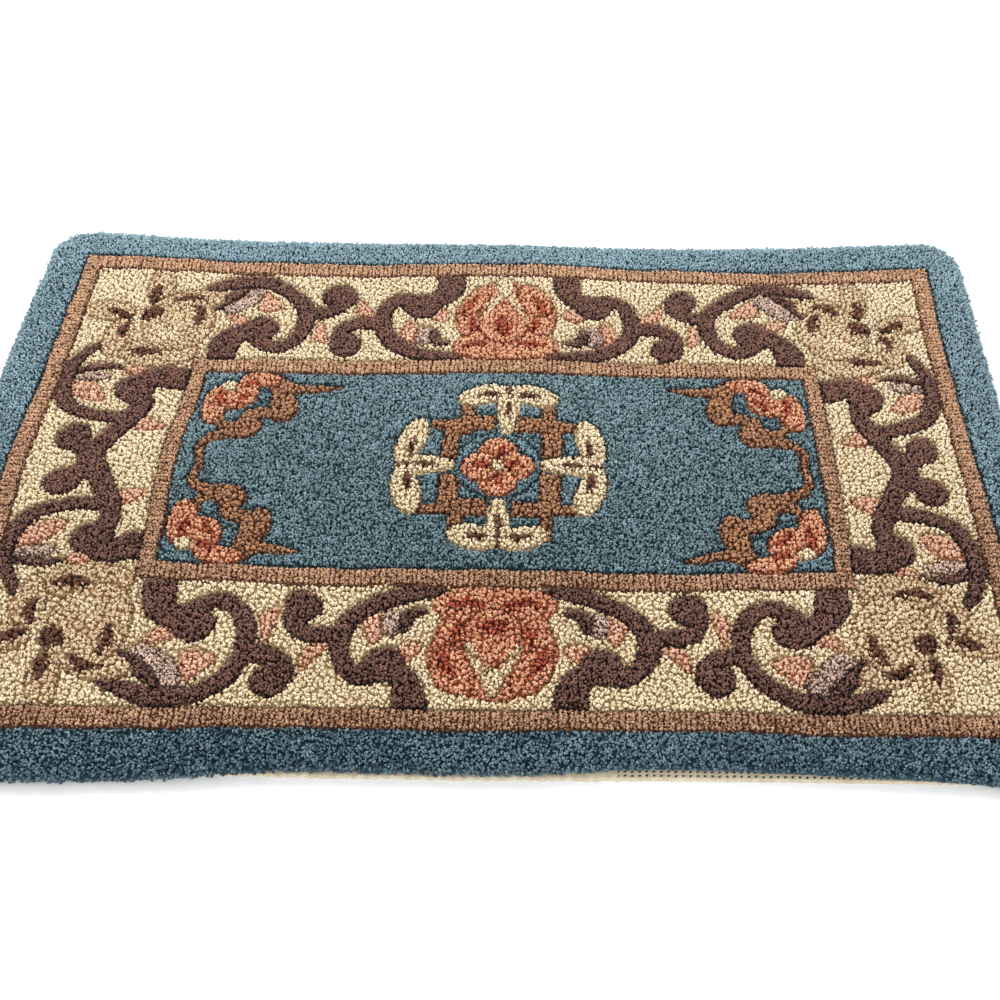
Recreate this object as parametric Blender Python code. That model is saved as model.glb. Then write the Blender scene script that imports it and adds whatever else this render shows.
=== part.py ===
"""A small hand-tufted wool rug in the sculpted Chinese manner, lying flat.

Two solids: the wool pile, with its rounded, slightly wandering rim and the grooves shorn along
its bands and round its motifs, and the canvas backing under it, whose hem shows along the front.
Metres, +Z up. The rug lies on z = 0 with its length along X, and its front long side faces -Y.
"""

import math

import bmesh
import bpy
import numpy as np
from mathutils import Vector
from mathutils.geometry import delaunay_2d_cdt

MM = 0.001

# Driving sizes in millimetres, before the edges wander
HALF_LENGTH = 457.0
HALF_WIDTH = 294.0
CORNER_RADIUS = 34.0
BACKING_THICKNESS = 3.0
PILE_HEIGHT = 12.0
CLEARANCE = 0.3
RIM_ROUNDING = 11.0
RIM_WIDEST_HEIGHT = 4.0
RIM_ROOT_INSET = 4.5
RIM_UNDERCUT_INSET = 1.4
RIM_UNDERCUT_HEIGHT = 2.0

# Half sizes of the four shorn rectangles: both edges of the outer band and of the inner band
OUTER_BAND_OUTER = (421.5, 258.0)
OUTER_BAND_INNER = (404.5, 240.0)
INNER_BAND_OUTER = (293.5, 126.5)
INNER_BAND_INNER = (278.5, 109.0)

BAND_GROOVE_HALF_WIDTH = 3.0
BAND_GROOVE_DEPTH = 2.6
MOTIF_GROOVE_HALF_WIDTH = 2.8
MOTIF_GROOVE_DEPTH = 2.2

# The pile's unevenness: two crossed rows of soft waves. Each row: waves along the length unit of
# the first direction, bend of the wave, waves of the bend along the other direction, start
LUMP_HEIGHT = 0.25
LUMP_LENGTH = 95.0
LUMP_WAVES = {"along": (3.1, 1.7, 2.3, 0.0), "across": (2.7, 1.3, 1.9, 0.8)}

# Spacing of the points that carry the shapes
RIM_STEP = 20.0
RIM_INSETS = (1.2, 4.5, RIM_ROUNDING)
LINE_STEP = 40.0
FIELD_STEP = 30.0
FILL_STEP = 5.0
FILL_GAP = 9.0
MOTIF_STEP = 13.0
MOTIF_LEAST_STEPS = 8
OUTLINE_STEP = 3.0
CLEAR_GAP = 1.9
JOIN_GAP = 2e-4
SMOOTH_ANGLE = 60.0
CAP_STEPS = 6
OVAL_STEPS = 32
CURVE_STEPS = 5

# Lengths that sort the points: how deep an outline may dip under its own form, the shortest run
# that is shorn, the longest join, and the gaps of open ground, narrow ground and shoulders
SEEN_LEEWAY = 0.3
SHORTEST_RUN = 6.5
LONGEST_JOIN = 26.0
OPEN_BAND_GAP = 9.0
OPEN_MOTIF_GAP = 7.0
NARROW_MOTIF_GAP = 8.4
SHOULDER_LEAST_GAP = 2.24

# How the backing's edge runs inside the pile's widest line
BACKING_INSET = 6.0
HEM_EDGE_ROUNDING = 1.0

# How far each line strays from straight, in millimetres, at seven even stations along its side.
# Back and front run from left to right and stray along Y; left and right run from front to back
# and stray along X. Each row: distance of the straight line from the middle, strays.
STRAY = {
    "back": (
        (294.0, (10.0, 1.5, 0.0, 0.5, -2.5, 1.5, 11.0)),
        (258.0, (12.0, 4.0, 1.5, 6.0, 0.0, -2.0, 8.5)),
        (126.5, (0.0, 0.0, -1.5, 4.5, 1.0, 1.0, 2.0)),
    ),
    "front": (
        (294.0, (-6.0, -3.0, 7.5, 7.5, 13.0, 9.5, 4.0)),
        (258.0, (-4.0, -2.0, 1.0, 1.0, 4.0, 2.5, 5.0)),
        (126.5, (3.0, 3.0, -2.0, 0.0, -2.0, 3.0, 3.0)),
    ),
    "left": (
        (457.0, (1.0, -3.0, -6.0, -6.0, -5.5, -3.0, 2.0)),
        (421.5, (1.0, -2.0, -6.0, -8.0, -3.0, 0.5, 3.5)),
        (293.5, (1.5, 1.5, 0.0, -2.0, 5.5, 6.0, 6.0)),
    ),
    "right": (
        (457.0, (0.0, 0.0, -1.0, -1.0, -0.5, 0.5, 1.5)),
        (421.5, (0.0, 0.0, 0.0, -0.5, -1.5, 0.0, 3.0)),
        (293.5, (1.0, 1.0, 2.0, 4.5, 2.5, 0.0, 0.0)),
    ),
}
STATION_SPAN = {"back": 421.5, "front": 421.5, "left": 259.0, "right": 259.0}

# The canvas edge along the front: a flatter line than the pile's, so that it shows in the middle
CANVAS_FRONT = (-290.0, -290.0, -290.5, -290.0, -287.5, -286.5, -286.0)

# The motifs of one quarter, in millimetres from the rug's middle; the other quarters mirror them.
# A layer is a set of forms that are one colour of yarn, and a later layer lies over an earlier one.
# The forms are strokes, whose rows are x, y and half width; ovals, whose rows are x, y, half x,
# half y and the turn in degrees; and patches, whose rows are the x and y of their corners.
QUARTER_LAYERS = (
    {"patches": (((216, 196), (232, 190), (247, 193), (246, 206), (241, 219), (228, 209)),)},
    {"strokes": (((249, 218, 8), (258, 211, 11), (266, 203, 11), (273, 195, 8)),)},
    {
        "strokes": (
            ((270, 120, 13), (270, 140, 14), (265, 153, 12), (253, 162, 11), (241, 167, 13)),
            ((243, 160, 10), (237, 151, 8.5), (222, 143, 8), (207, 148, 8), (198, 163, 8), (195, 184, 8),
             (200, 202, 8), (214, 217, 8), (234, 229, 8), (256, 233, 8), (275, 229, 7.5), (290, 222, 5.5),
             (300, 214, 3)),
            ((196, 191, 8), (184, 190, 8), (171, 193, 8), (162, 201, 8), (160, 210, 8)),
        ),
        "ovals": ((238, 167, 18, 17, 0), (171, 213, 15, 14.5, 0)),
    },
    {"patches": (((88, 158), (98, 151), (107, 159), (104, 171), (97, 183), (90, 174)),)},
    {
        "strokes": (
            ((40, 131, 5.5), (56, 132, 7), (73, 135, 8), (90, 141, 8), (105, 150, 8), (117, 163, 8),
             (121.5, 178, 8), (120, 192, 8), (113, 205, 8), (102, 211, 9), (90, 206, 11)),
            ((80, 206, 10), (70, 210, 10), (62, 219, 12), (59, 230, 13.5), (59, 244, 13.5)),
            ((121, 177, 8), (132, 174, 8), (146, 173, 8), (157, 167, 8), (161, 156, 8)),
        ),
        "ovals": ((85, 201, 17, 16.5, 0), (152, 146, 15.5, 15.5, 0)),
    },
    {
        "patches": (
            ((0, 124), (20, 126), (38, 131), (51, 141), (49, 151), (43, 160), (48, 171), (51, 182),
             (51, 194), (45, 207), (34, 219), (17, 229), (0, 232), (-17, 229), (-34, 219), (-45, 207),
             (-51, 194), (-51, 182), (-48, 171), (-43, 160), (-49, 151), (-51, 141), (-38, 131), (-20, 126)),
        ),
    },
    {"ovals": ((30, 206, 14, 24, 28),)},
    {"patches": (((396, 90), (386, 94), (368, 88), (355, 72), (366, 67), (384, 74)),)},
    {
        "strokes": (
            ((333, 50, 7), (350, 49, 7.5), (366, 51, 7.5), (382, 57, 7.5), (394, 71, 7.5), (399, 90, 7.5),
             (398, 108, 7), (394, 122, 6.5), (385, 137, 5), (376, 148, 2.5)),
            ((331, 80, 10), (323, 67, 9), (330, 50, 9), (339, 33, 9), (347, 17, 10), (354, 3, 12),
             (355, -5, 12)),
            ((354, 10, 8), (364, 14, 9), (372, 20, 9)),
            ((332, 92, 10), (322, 101, 10), (311, 101, 12), (301, 98, 14), (284, 98, 14)),
        ),
        "ovals": ((333, 86, 17, 17, 0), (374, 24, 15, 15, 0)),
    },
    {"ovals": ((338, 219, 13, 25, 0), (380, 184, 24, 12, 0))},
    {"ovals": ((305, 203, 27, 14, -15), (366, 150, 14, 26, 0))},
    {"ovals": ((325, 132, 34, 19, 0),)},
    {"ovals": ((315, 172, 33, 38, 0),)},
    {
        "strokes": (
            ((204, 80, 9), (205, 92, 9), (214, 99, 8)),
            ((208, 58, 7), (216, 58, 7), (226, 54, 8)),
            ((236, 46, 8), (248, 44, 8), (254, 52, 7)),
            ((206, 90, 9), (194, 89, 7), (180, 90, 5.5), (165, 92, 4), (152, 93, 1.5)),
            ((238, 35, 8), (250, 31, 6), (261, 26, 5), (267, 16, 4.5), (266, 5, 4), (264, -4, 4)),
        ),
        "ovals": ((198, 66, 13, 18, 0), (227, 40, 16, 14, 0)),
    },
    {"ovals": ((225, 99, 20, 9.5, 0), (263, 68, 12, 24, 6), (243, 80, 19, 18, 0))},
)

# The medallion in the middle, which isn't mirrored: its fret of straight bars, four butterflies
# and the round flower. Fret rows: from x, to x, from y, to y
FRET = (
    (-37, -24, 34, 73), (-37, -5, 38, 56), (-50, -35, 8, 53), (-62, -48, 42, 53),
    (37, 50, 50, 73), (12, 50, 37, 55), (37, 56, 8, 52), (50, 70, 38, 51),
    (37, 47, -80, -50), (12, 48, -56, -40), (36, 55, -52, -9), (50, 74, -53, -42),
    (-41, -28, -74, -50), (-41, -8, -56, -37), (-51, -33, -52, -10), (-72, -48, -53, -42),
)
# Rows: quarter turns from the back, place along the fret's side, half span, outer reach
BUTTERFLIES = ((0, 6, 44, 95), (1, 1, 52, 92), (2, -1, 41, 91), (3, 0, 52, 94))
WING_SPREAD = 0.53
WING_HALF_DEPTH = 12.5
WING_INSET = 14.0
WING_TURN = 15.0
# Rows of a butterfly's stem: distance from the rug's middle, half width
STEM = ((82, 11), (71, 11), (57, 9.5), (45, 7), (37, 4))
RING = (0, -1, 37.5, 36, 0)
# Rows of the flower's petals: x, y, half x, half y, turn
PETALS = ((0, 14, 17.5, 16, 0), (15, -2, 17.5, 16, 0), (0, -18, 17.5, 16, 0), (-15, -2, 17.5, 16, 0))

# How far the motifs stray from the ideal drawing, which is the same in every quarter.
# Each row: place in the ideal quarter, stray there, both as x away from the middle and y
# away from the middle.
MOTIF_STRAY = {
    "back right": (
        (172, 213, 3, 1), (160, 205, 9, 3), (213, 217, 7, -5), (256, 233, 3, -1), (295, 218, 9, 4),
        (195, 184, 1, 0), (222, 143, 0, 0), (238, 167, 0, 1), (270, 138, 2, 1), (140, 195, 3, -3),
        (152, 146, 6, -2), (308, 204, 12, -1), (341, 208, 5, -10), (341, 183, 0, -8), (296, 184, 1, 0),
        (371, 182, 4, -5), (363, 160, 5, -3), (338, 132, 6, -1), (59, 230, 5, -4), (85, 201, 2, -1),
        (105, 211, 4, -5), (106, 151, 6, -5), (73, 135, 3, -4), (301, 98, 0, -4), (333, 86, 2, 0),
        (398, 95, -1, 0), (374, 24, 0, 0), (312, 42, 2, -9), (196, 66, 0, 4), (152, 93, 0, 0),
        (243, 53, -1, -1), (264, 0, 0, 0),
    ),
    "back left": (
        (172, 213, -12, 2), (184, 190, -4, 0), (213, 217, 0, 0), (285, 225, 0, -5), (258, 208, -11, -6),
        (238, 167, -5, 0), (270, 138, -4, 2), (195, 184, -1, 0), (222, 143, 0, -1), (179, 165, -4, 0),
        (140, 195, -7, 4), (152, 146, -1, 2), (59, 230, -10, -5), (85, 201, -5, -1), (105, 211, -4, -4),
        (90, 141, 0, -4), (85, 165, -12, -5), (341, 208, 1, 1), (341, 183, 1, -1), (371, 182, 0, -1),
        (301, 98, 1, 1), (333, 86, 5, 0), (399, 90, 1, 1), (374, 24, -1, 4), (354, 3, -1, 0),
        (264, 0, -8, 0), (267, 16, -6, 3), (218, 78, 0, 2), (152, 93, -3, -2), (227, 40, 5, 2),
        (245, 53, -5, 0),
    ),
    "front left": (
        (171, 213, 2, 6), (213, 217, -3, 5), (256, 233, 0, 0), (222, 143, 0, 4), (238, 167, 1, 0),
        (270, 138, 0, 0), (195, 184, -1, 1), (260, 208, -7, 0), (59, 230, 6, 0), (85, 201, 0, 0),
        (105, 211, 0, 0), (80, 160, -6, 0), (85, 141, 0, 0), (363, 160, 7, 0), (341, 183, 7, -1),
        (371, 182, 5, -1), (296, 184, 11, 2), (309, 205, 10, 0), (341, 208, 8, -1), (338, 132, 4, 0),
        (301, 98, 2, -6), (333, 86, 1, 1), (399, 90, 2, 3), (374, 24, -5, 4), (341, 33, -8, 0),
        (337, 110, 5, 0), (264, 0, -10, 0), (245, 53, -4, -2), (152, 93, 14, 1), (218, 78, 6, 2),
        (254, 91, 7, -2), (255, 31, 4, -1), (265, 14, -10, 2),
    ),
    "front right": (
        (160, 205, 5, 0), (213, 217, 1, 0), (270, 138, 4, 3), (238, 167, 0, -1), (222, 143, 0, 3),
        (262, 178, 4, -3), (59, 230, 3, 0), (85, 201, 0, 0), (152, 146, 5, -2), (341, 183, -1, -7),
        (371, 182, 3, -7), (296, 184, -1, 0), (309, 205, 14, 0), (341, 208, 3, -10), (338, 132, 3, -3),
        (363, 160, 1, -3), (301, 98, -1, -4), (333, 86, 0, 0), (398, 95, -2, 0), (374, 24, -1, 0),
        (312, 42, 0, -5), (375, 105, -6, 4), (264, 0, 0, -3), (152, 93, 6, 4), (218, 78, 3, 4),
        (254, 91, 4, 0),
    ),
}
STRAY_REACH = 17.0
STRAY_HOLD = 0.25
STRAY_FADE = 14.0

WOOL_COLOUR = (0.098, 0.188, 0.246, 1.0)
WOOL_ROUGHNESS = 0.95
CANVAS_COLOUR = (0.68, 0.61, 0.46, 1.0)
CANVAS_ROUGHNESS = 0.9


def along(values, span, where):
    """A smooth line through values at even stations from -span to span, read at where."""
    values = np.asarray(values, float)
    place = np.clip((np.asarray(where, float) + span) / (2 * span), 0, 1) * (len(values) - 1)
    before = np.minimum(place.astype(int), len(values) - 2)
    t = place - before
    last = len(values) - 1
    p0 = values[np.maximum(before - 1, 0)]
    p1 = values[before]
    p2 = values[before + 1]
    p3 = values[np.minimum(before + 2, last)]
    curve = 2 * p1 + (p2 - p0) * t
    curve = curve + (2 * p0 - 5 * p1 + 4 * p2 - p3) * t**2
    curve = curve + (3 * p1 - p0 - 3 * p2 + p3) * t**3
    return curve / 2


def side_stray(low_side, high_side, across, where):
    """The stray at a distance across the rug, from the lines of its two facing sides."""
    low = [(-distance, strays, low_side) for distance, strays in STRAY[low_side]]
    high = [(distance, strays, high_side) for distance, strays in STRAY[high_side]]
    rows = sorted(low + high, key=lambda row: row[0])
    places = [row[0] for row in rows]
    strays = [along(row[1], STATION_SPAN[row[2]], where) for row in rows]
    result = np.zeros_like(across, float)
    for i in range(len(rows) - 1):
        share = np.clip((across - places[i]) / (places[i + 1] - places[i]), 0, 1)
        inside = (across >= places[i]) & (across <= places[i + 1])
        result = np.where(inside, strays[i] * (1 - share) + strays[i + 1] * share, result)
    result = np.where(across < places[0], strays[0], result)
    return np.where(across > places[-1], strays[-1], result)


def wander(points):
    """Ideal plan points moved to where the hand-made rug has them."""
    points = np.asarray(points, float)
    u = points[:, 0]
    v = points[:, 1]
    return np.stack([u + side_stray("left", "right", u, v), v + side_stray("front", "back", v, u)], 1)


def rounded_rectangle(half_x, half_y, radius, step):
    """A closed outline, anticlockwise from the lower end of the back right corner's arc."""
    points = []
    corners = ((1, 1, 0), (-1, 1, 90), (-1, -1, 180), (1, -1, 270))
    arc_steps = max(3, round(radius * math.pi / step))
    for sx, sy, start in corners:
        centre = np.array([sx * (half_x - radius), sy * (half_y - radius)])
        for i in range(arc_steps + 1):
            angle = math.radians(start + 90 * i / arc_steps)
            points.append(centre + radius * np.array([math.cos(angle), math.sin(angle)]))
    return resampled(np.array(points), step)


def resampled(corner_points, step):
    """The closed line with its long straight stretches cut into even steps."""
    points = []
    for i, start in enumerate(corner_points):
        end = corner_points[(i + 1) % len(corner_points)]
        count = max(1, round(np.linalg.norm(end - start) / step))
        for j in range(count):
            points.append(start + (end - start) * j / count)
    return np.array(points)


def rectangle(half_size, step):
    """A closed rectangle with points at even steps."""
    x, y = half_size
    return resampled(np.array([(x, -y), (x, y), (-x, y), (-x, -y)], float), step)


def inset_line(points, inset):
    """The closed outline moved inwards by inset, along each point's own normal."""
    along_line = np.roll(points, -1, axis=0) - np.roll(points, 1, axis=0)
    along_line = along_line / np.linalg.norm(along_line, axis=1)[:, None]
    inwards = np.stack([-along_line[:, 1], along_line[:, 0]], 1)
    return points + inwards * inset


def distance_to_line(points, line, closed=True):
    """The distance of each point from a line."""
    nearest = np.full(len(points), np.inf)
    starts = line if closed else line[:-1]
    ends = np.roll(line, -1, axis=0) if closed else line[1:]
    for start, end in zip(starts, ends):
        along_line = end - start
        length_squared = max(along_line @ along_line, 1e-12)
        t = np.clip((points - start) @ along_line / length_squared, 0, 1)
        nearest = np.minimum(nearest, np.linalg.norm(points - start - t[:, None] * along_line, axis=1))
    return nearest


def smooth_line(rows, closed=False):
    """Rows of numbers with a soft curve run through them."""
    rows = np.asarray(rows, float)
    if closed:
        padded = np.vstack([rows[-1:], rows, rows[:2]])
    else:
        padded = np.vstack([2 * rows[:1] - rows[1:2], rows, 2 * rows[-1:] - rows[-2:-1]])
    found = []
    for i in range(len(padded) - 3):
        p0, p1, p2, p3 = padded[i : i + 4]
        for j in range(CURVE_STEPS):
            t = j / CURVE_STEPS
            curve = 2 * p1 + (p2 - p0) * t
            curve = curve + (2 * p0 - 5 * p1 + 4 * p2 - p3) * t**2
            curve = curve + (3 * p1 - p0 - 3 * p2 + p3) * t**3
            found.append(curve / 2)
    if not closed:
        found.append(rows[-1])
    return np.array(found)


def even_line(points, step, closed):
    """A line walked from its start in even steps of about the given length."""
    if closed:
        points = np.vstack([points, points[:1]])
    gaps = np.linalg.norm(np.diff(points, axis=0), axis=1)
    walked = np.concatenate([[0], np.cumsum(gaps)])
    count = max(1, round(walked[-1] / step))
    if closed:
        count = max(count, MOTIF_LEAST_STEPS)
    places = np.linspace(0, walked[-1], count + 1)
    if closed:
        places = places[:-1]
    return np.stack([np.interp(places, walked, points[:, axis]) for axis in (0, 1)], 1)


def stroke(rows):
    """A stroke's outline, and how far points are outside it."""
    line = smooth_line(rows)
    way = np.gradient(line[:, :2], axis=0)
    way = way / np.linalg.norm(way, axis=1)[:, None]
    across = np.stack([-way[:, 1], way[:, 0]], 1) * line[:, 2:]
    cap = []
    for angle in np.linspace(0, math.pi, CAP_STEPS + 1)[1:-1]:
        cap.append((math.cos(angle), math.sin(angle)))
    last_cap = [line[-1, :2] - c * across[-1] + s * line[-1, 2] * way[-1] for c, s in cap]
    first_cap = [line[0, :2] + c * across[0] - s * line[0, 2] * way[0] for c, s in cap]
    outline = np.vstack([line[:, :2] - across, last_cap, (line[:, :2] + across)[::-1], first_cap])

    def outside(points):
        nearest = np.full(len(points), np.inf)
        for (x0, y0, r0), (x1, y1, r1) in zip(line[:-1], line[1:]):
            step = np.array([x1 - x0, y1 - y0])
            t = np.clip((points - (x0, y0)) @ step / (step @ step), 0, 1)
            gap = np.linalg.norm(points - (x0, y0) - t[:, None] * step, axis=1)
            nearest = np.minimum(nearest, gap - r0 - t * (r1 - r0))
        return nearest

    return outline, outside


def patch(corners, soft=True):
    """A closed patch's outline, and how far points are outside it."""
    outline = smooth_line(corners, closed=True) if soft else np.asarray(corners, float)

    def outside(points):
        inside = np.zeros(len(points), bool)
        for a, b in zip(outline, np.roll(outline, -1, axis=0)):
            crosses = (a[1] > points[:, 1]) != (b[1] > points[:, 1])
            rise = b[1] - a[1] if abs(b[1] - a[1]) > 1e-12 else 1e-12
            inside ^= crosses & (points[:, 0] < a[0] + (points[:, 1] - a[1]) * (b[0] - a[0]) / rise)
        return np.where(inside, -1, 1) * distance_to_line(points, outline)

    return outline, outside


def oval(row):
    """An oval's outline, and how far points are outside it."""
    x, y, half_x, half_y, turn = row
    angles = np.linspace(0, 2 * math.pi, OVAL_STEPS + 1)[:-1]
    ring = np.stack([half_x * np.cos(angles), half_y * np.sin(angles)], 1)
    c, s = math.cos(math.radians(turn)), math.sin(math.radians(turn))
    return patch(ring @ np.array([[c, s], [-s, c]]) + (x, y), soft=False)


def layer_forms(layer):
    """Every form of a layer, ready drawn."""
    forms = [stroke(rows) for rows in layer.get("strokes", ())]
    forms += [oval(row) for row in layer.get("ovals", ())]
    return forms + [patch(corners) for corners in layer.get("patches", ())]


def medallion_layers():
    """The medallion's forms, layer by layer."""
    fret = [patch([(a, c), (b, c), (b, d), (a, d)], soft=False) for a, b, c, d in FRET]
    butterflies = []
    for turns, middle, half_span, reach in BUTTERFLIES:
        angle = math.radians(90 * turns)
        turn = np.array([[math.cos(angle), math.sin(angle)], [-math.sin(angle), math.cos(angle)]])
        stem = [(*(np.array([middle, out]) @ turn), half) for out, half in STEM]
        butterflies.append(stroke(stem))
        for side in (-1, 1):
            x, y = np.array([middle + side * WING_SPREAD * half_span, reach - WING_INSET]) @ turn
            wing_turn = 90 * turns - side * WING_TURN
            butterflies.append(oval((x, y, WING_SPREAD * half_span, WING_HALF_DEPTH, wing_turn)))
    return [fret, butterflies, [oval(RING)], [oval(row) for row in PETALS]]


def visible_runs(layers):
    """The stretches of the forms' outlines that no form of their own or a later layer covers."""
    runs = []
    for i, forms in enumerate(layers):
        over = [form for layer in layers[i + 1 :] for form in layer]
        for outline, outside in forms:
            points = even_line(outline, OUTLINE_STEP, closed=True)
            seen = outside(points) > -SEEN_LEEWAY
            for other_outline, other in forms + over:
                if other is not outside:
                    seen &= other(points) > 0
            runs += stretches(points, seen, closed=True)
    return runs


def stretches(points, kept, closed=False):
    """A line cut into the stretches whose points are kept."""
    if closed and kept.all():
        return [np.vstack([points, points[:1]])]
    if closed:
        first = int(np.argmin(kept))
        points, kept = np.roll(points, -first, axis=0), np.roll(kept, -first)
    found = []
    run = []
    for point, keep in zip(points, kept):
        if keep:
            run.append(point)
        elif run:
            found.append(np.array(run))
            run = []
    if run:
        found.append(np.array(run))
    return [line for line in found if len(line) > 1]


def outside_box(points, half_size):
    """How far points are outside a rectangle round the middle; below zero inside it."""
    gap = np.abs(points) - np.array(half_size)
    return np.minimum(gap.max(axis=1), 0) + np.linalg.norm(np.maximum(gap, 0), axis=1)


def motif_stray(plan):
    """How far the motifs have strayed at each plan point of the ideal drawing."""
    spots = np.abs(plan)
    found = np.zeros_like(plan)
    for quarter, rows in MOTIF_STRAY.items():
        back = (plan[:, 1] > 0) == quarter.startswith("back")
        right = (plan[:, 0] > 0) == quarter.endswith("right")
        held = np.flatnonzero(back & right)
        total = np.full(len(held), STRAY_HOLD)
        moved = np.zeros((len(held), 2))
        for x, y, dx, dy in rows:
            gap = (spots[held] - (x, y)) / STRAY_REACH
            weight = np.exp(-0.5 * (gap**2).sum(axis=1))
            total += weight
            moved += weight[:, None] * (dx, dy)
        found[held] = moved / total[:, None] * np.sign(plan[held])
    # the strays fade out at the rug's two middle lines, where its quarters meet
    return found * np.clip(spots / STRAY_FADE, 0, 1)


def motif_lines():
    """The lines that are shorn round the motifs, in the rug's own plan."""
    quarter = visible_runs([layer_forms(layer) for layer in QUARTER_LAYERS])
    worked = []
    for run in quarter:
        for line in stretches(run, (run >= 0).all(axis=1)):
            for side in ((1, 1), (-1, 1), (-1, -1), (1, -1)):
                worked.append(line * side)
    worked = [line + motif_stray(line) for line in worked] + visible_runs(medallion_layers())
    found = []
    for line in worked:
        in_cream = (outside_box(line, INNER_BAND_OUTER) > 0) & (outside_box(line, OUTER_BAND_INNER) < 0)
        in_field = outside_box(line, INNER_BAND_INNER) < 0
        for run in stretches(line, in_cream | in_field):
            length = np.linalg.norm(np.diff(run, axis=0), axis=1).sum()
            if length > SHORTEST_RUN:
                whole = length / MOTIF_LEAST_STEPS if np.allclose(run[0], run[-1]) else MOTIF_STEP
                found.append(wander(even_line(run, min(MOTIF_STEP, whole), closed=False)))
    return found


def band_lines():
    """The lines that are shorn along the bands, in the rug's own plan."""
    sizes = (OUTER_BAND_OUTER, OUTER_BAND_INNER, INNER_BAND_OUTER, INNER_BAND_INNER)
    return [wander(rectangle(size, LINE_STEP)) for size in sizes]


def lumps(points):
    """The pile's gentle unevenness, as a height for each point."""
    height = np.zeros(len(points))
    for direction, (waves, bend, bend_waves, start) in LUMP_WAVES.items():
        first, other = (0, 1) if direction == "along" else (1, 0)
        bent = bend * np.sin(bend_waves * points[:, other] / LUMP_LENGTH + start)
        height += LUMP_HEIGHT * np.sin(waves * points[:, first] / LUMP_LENGTH + bent)
    return height


def nearest_of(points, lines, closed):
    """The distance of each point from the nearest of many lines."""
    nearest = np.full(len(points), np.inf)
    for line in lines:
        nearest = np.minimum(nearest, distance_to_line(points, line, closed))
    return nearest


def pile_heights(points, outline, bands, motifs):
    """Height of the pile's top over its own root, at each plan point inside the outline."""
    in_from_rim = np.clip(distance_to_line(points, outline) / RIM_ROUNDING, 0, 1)
    round_rise = np.sqrt(np.clip(1 - (1 - in_from_rim) ** 2, 0, 1))
    height = RIM_WIDEST_HEIGHT + (PILE_HEIGHT - RIM_WIDEST_HEIGHT) * round_rise
    height = height + lumps(points) * in_from_rim
    band_cut = np.clip(1 - nearest_of(points, bands, True) / BAND_GROOVE_HALF_WIDTH, 0, 1)
    motif_cut = np.clip(1 - nearest_of(points, motifs, False) / MOTIF_GROOVE_HALF_WIDTH, 0, 1)
    return height - np.maximum(BAND_GROOVE_DEPTH * band_cut, MOTIF_GROOVE_DEPTH * motif_cut)


def grid_points(step):
    """A grid of points inside the rug's rounded rim."""
    columns = np.arange(-HALF_LENGTH, HALF_LENGTH, step) + step / 2
    rows = np.arange(-HALF_WIDTH, HALF_WIDTH, step) + step / 2
    x, y = np.meshgrid(columns, rows)
    points = np.stack([x.ravel(), y.ravel()], 1)
    inside = outside_box(points, (HALF_LENGTH - 2 * RIM_ROUNDING, HALF_WIDTH - 2 * RIM_ROUNDING)) < 0
    return points[inside]


def field_points(bands, motifs, taken):
    """Points between the shorn lines, which carry the pile's unevenness and its whole height.

    A wide grid fills the open ground, and close points fill the narrow ground between grooves.
    """
    points = grid_points(FIELD_STEP)
    clear = nearest_of(points, bands, True) > OPEN_BAND_GAP
    clear &= nearest_of(points, motifs, False) > OPEN_MOTIF_GAP
    wide = points[clear]
    points = grid_points(FILL_STEP)
    gap = nearest_of(points, motifs, False)
    narrow = (gap > MOTIF_GROOVE_HALF_WIDTH) & (gap < NARROW_MOTIF_GAP)
    points = points[narrow]
    points = points[nearest_of(points, bands, True) > BAND_GROOVE_HALF_WIDTH]
    close, taken = thinned([points], np.vstack([taken, wide]), FILL_GAP)
    return np.vstack([wide] + close)


def shoulders(motifs, bands):
    """The lines beside the motifs' grooves where the pile is whole again."""
    found = []
    for line in motifs:
        way = np.gradient(line, axis=0)
        way = way / np.maximum(np.linalg.norm(way, axis=1)[:, None], 1e-9)
        across = np.stack([-way[:, 1], way[:, 0]], 1) * MOTIF_GROOVE_HALF_WIDTH
        for side in (-1, 1):
            shoulder = line + side * across
            clear = nearest_of(shoulder, motifs, False) > SHOULDER_LEAST_GAP
            clear &= nearest_of(shoulder, bands, True) > BAND_GROOVE_HALF_WIDTH + CLEAR_GAP
            found += stretches(shoulder, clear)
    return found


def thinned(lines, taken, gap):
    """Lines without the points that crowd one another or the points already taken."""
    taken = np.array(taken)
    found = []
    for line in lines:
        own = []
        for point in line:
            if np.linalg.norm(taken - point, axis=1).min() > gap:
                own.append(point)
                taken = np.vstack([taken, point])
        if own:
            found.append(np.array(own))
    return found, taken


def triangulated(outline, closed_lines, open_lines, loose_points):
    """Triangles that fill a closed outline and keep every line and loose point inside it."""
    points = [tuple(p) for p in outline]
    edges = []
    for line in closed_lines:
        first = len(points)
        points += [tuple(p) for p in line]
        edges += [(first + i, first + (i + 1) % len(line)) for i in range(len(line))]
    for line in open_lines:
        first = len(points)
        points += [tuple(p) for p in line]
        gaps = np.linalg.norm(np.diff(line, axis=0), axis=1)
        edges += [(first + i, first + i + 1) for i in range(len(line) - 1) if gaps[i] < LONGEST_JOIN]
    points += [tuple(p) for p in loose_points]
    face = [list(range(len(outline)))]
    result = delaunay_2d_cdt([Vector(p) for p in points], edges, face, 1, JOIN_GAP)
    plan = np.array([tuple(p) for p in result[0]])
    return plan, [tuple(f) for f in result[2]], result[3]


def rim_vertices(outline, origin):
    """The triangulation's vertices that lie on the outline, in its order."""
    rim = [None] * len(outline)
    for vertex, sources in enumerate(origin):
        for source in sources:
            if source < len(outline):
                rim[source] = vertex
    return rim


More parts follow.
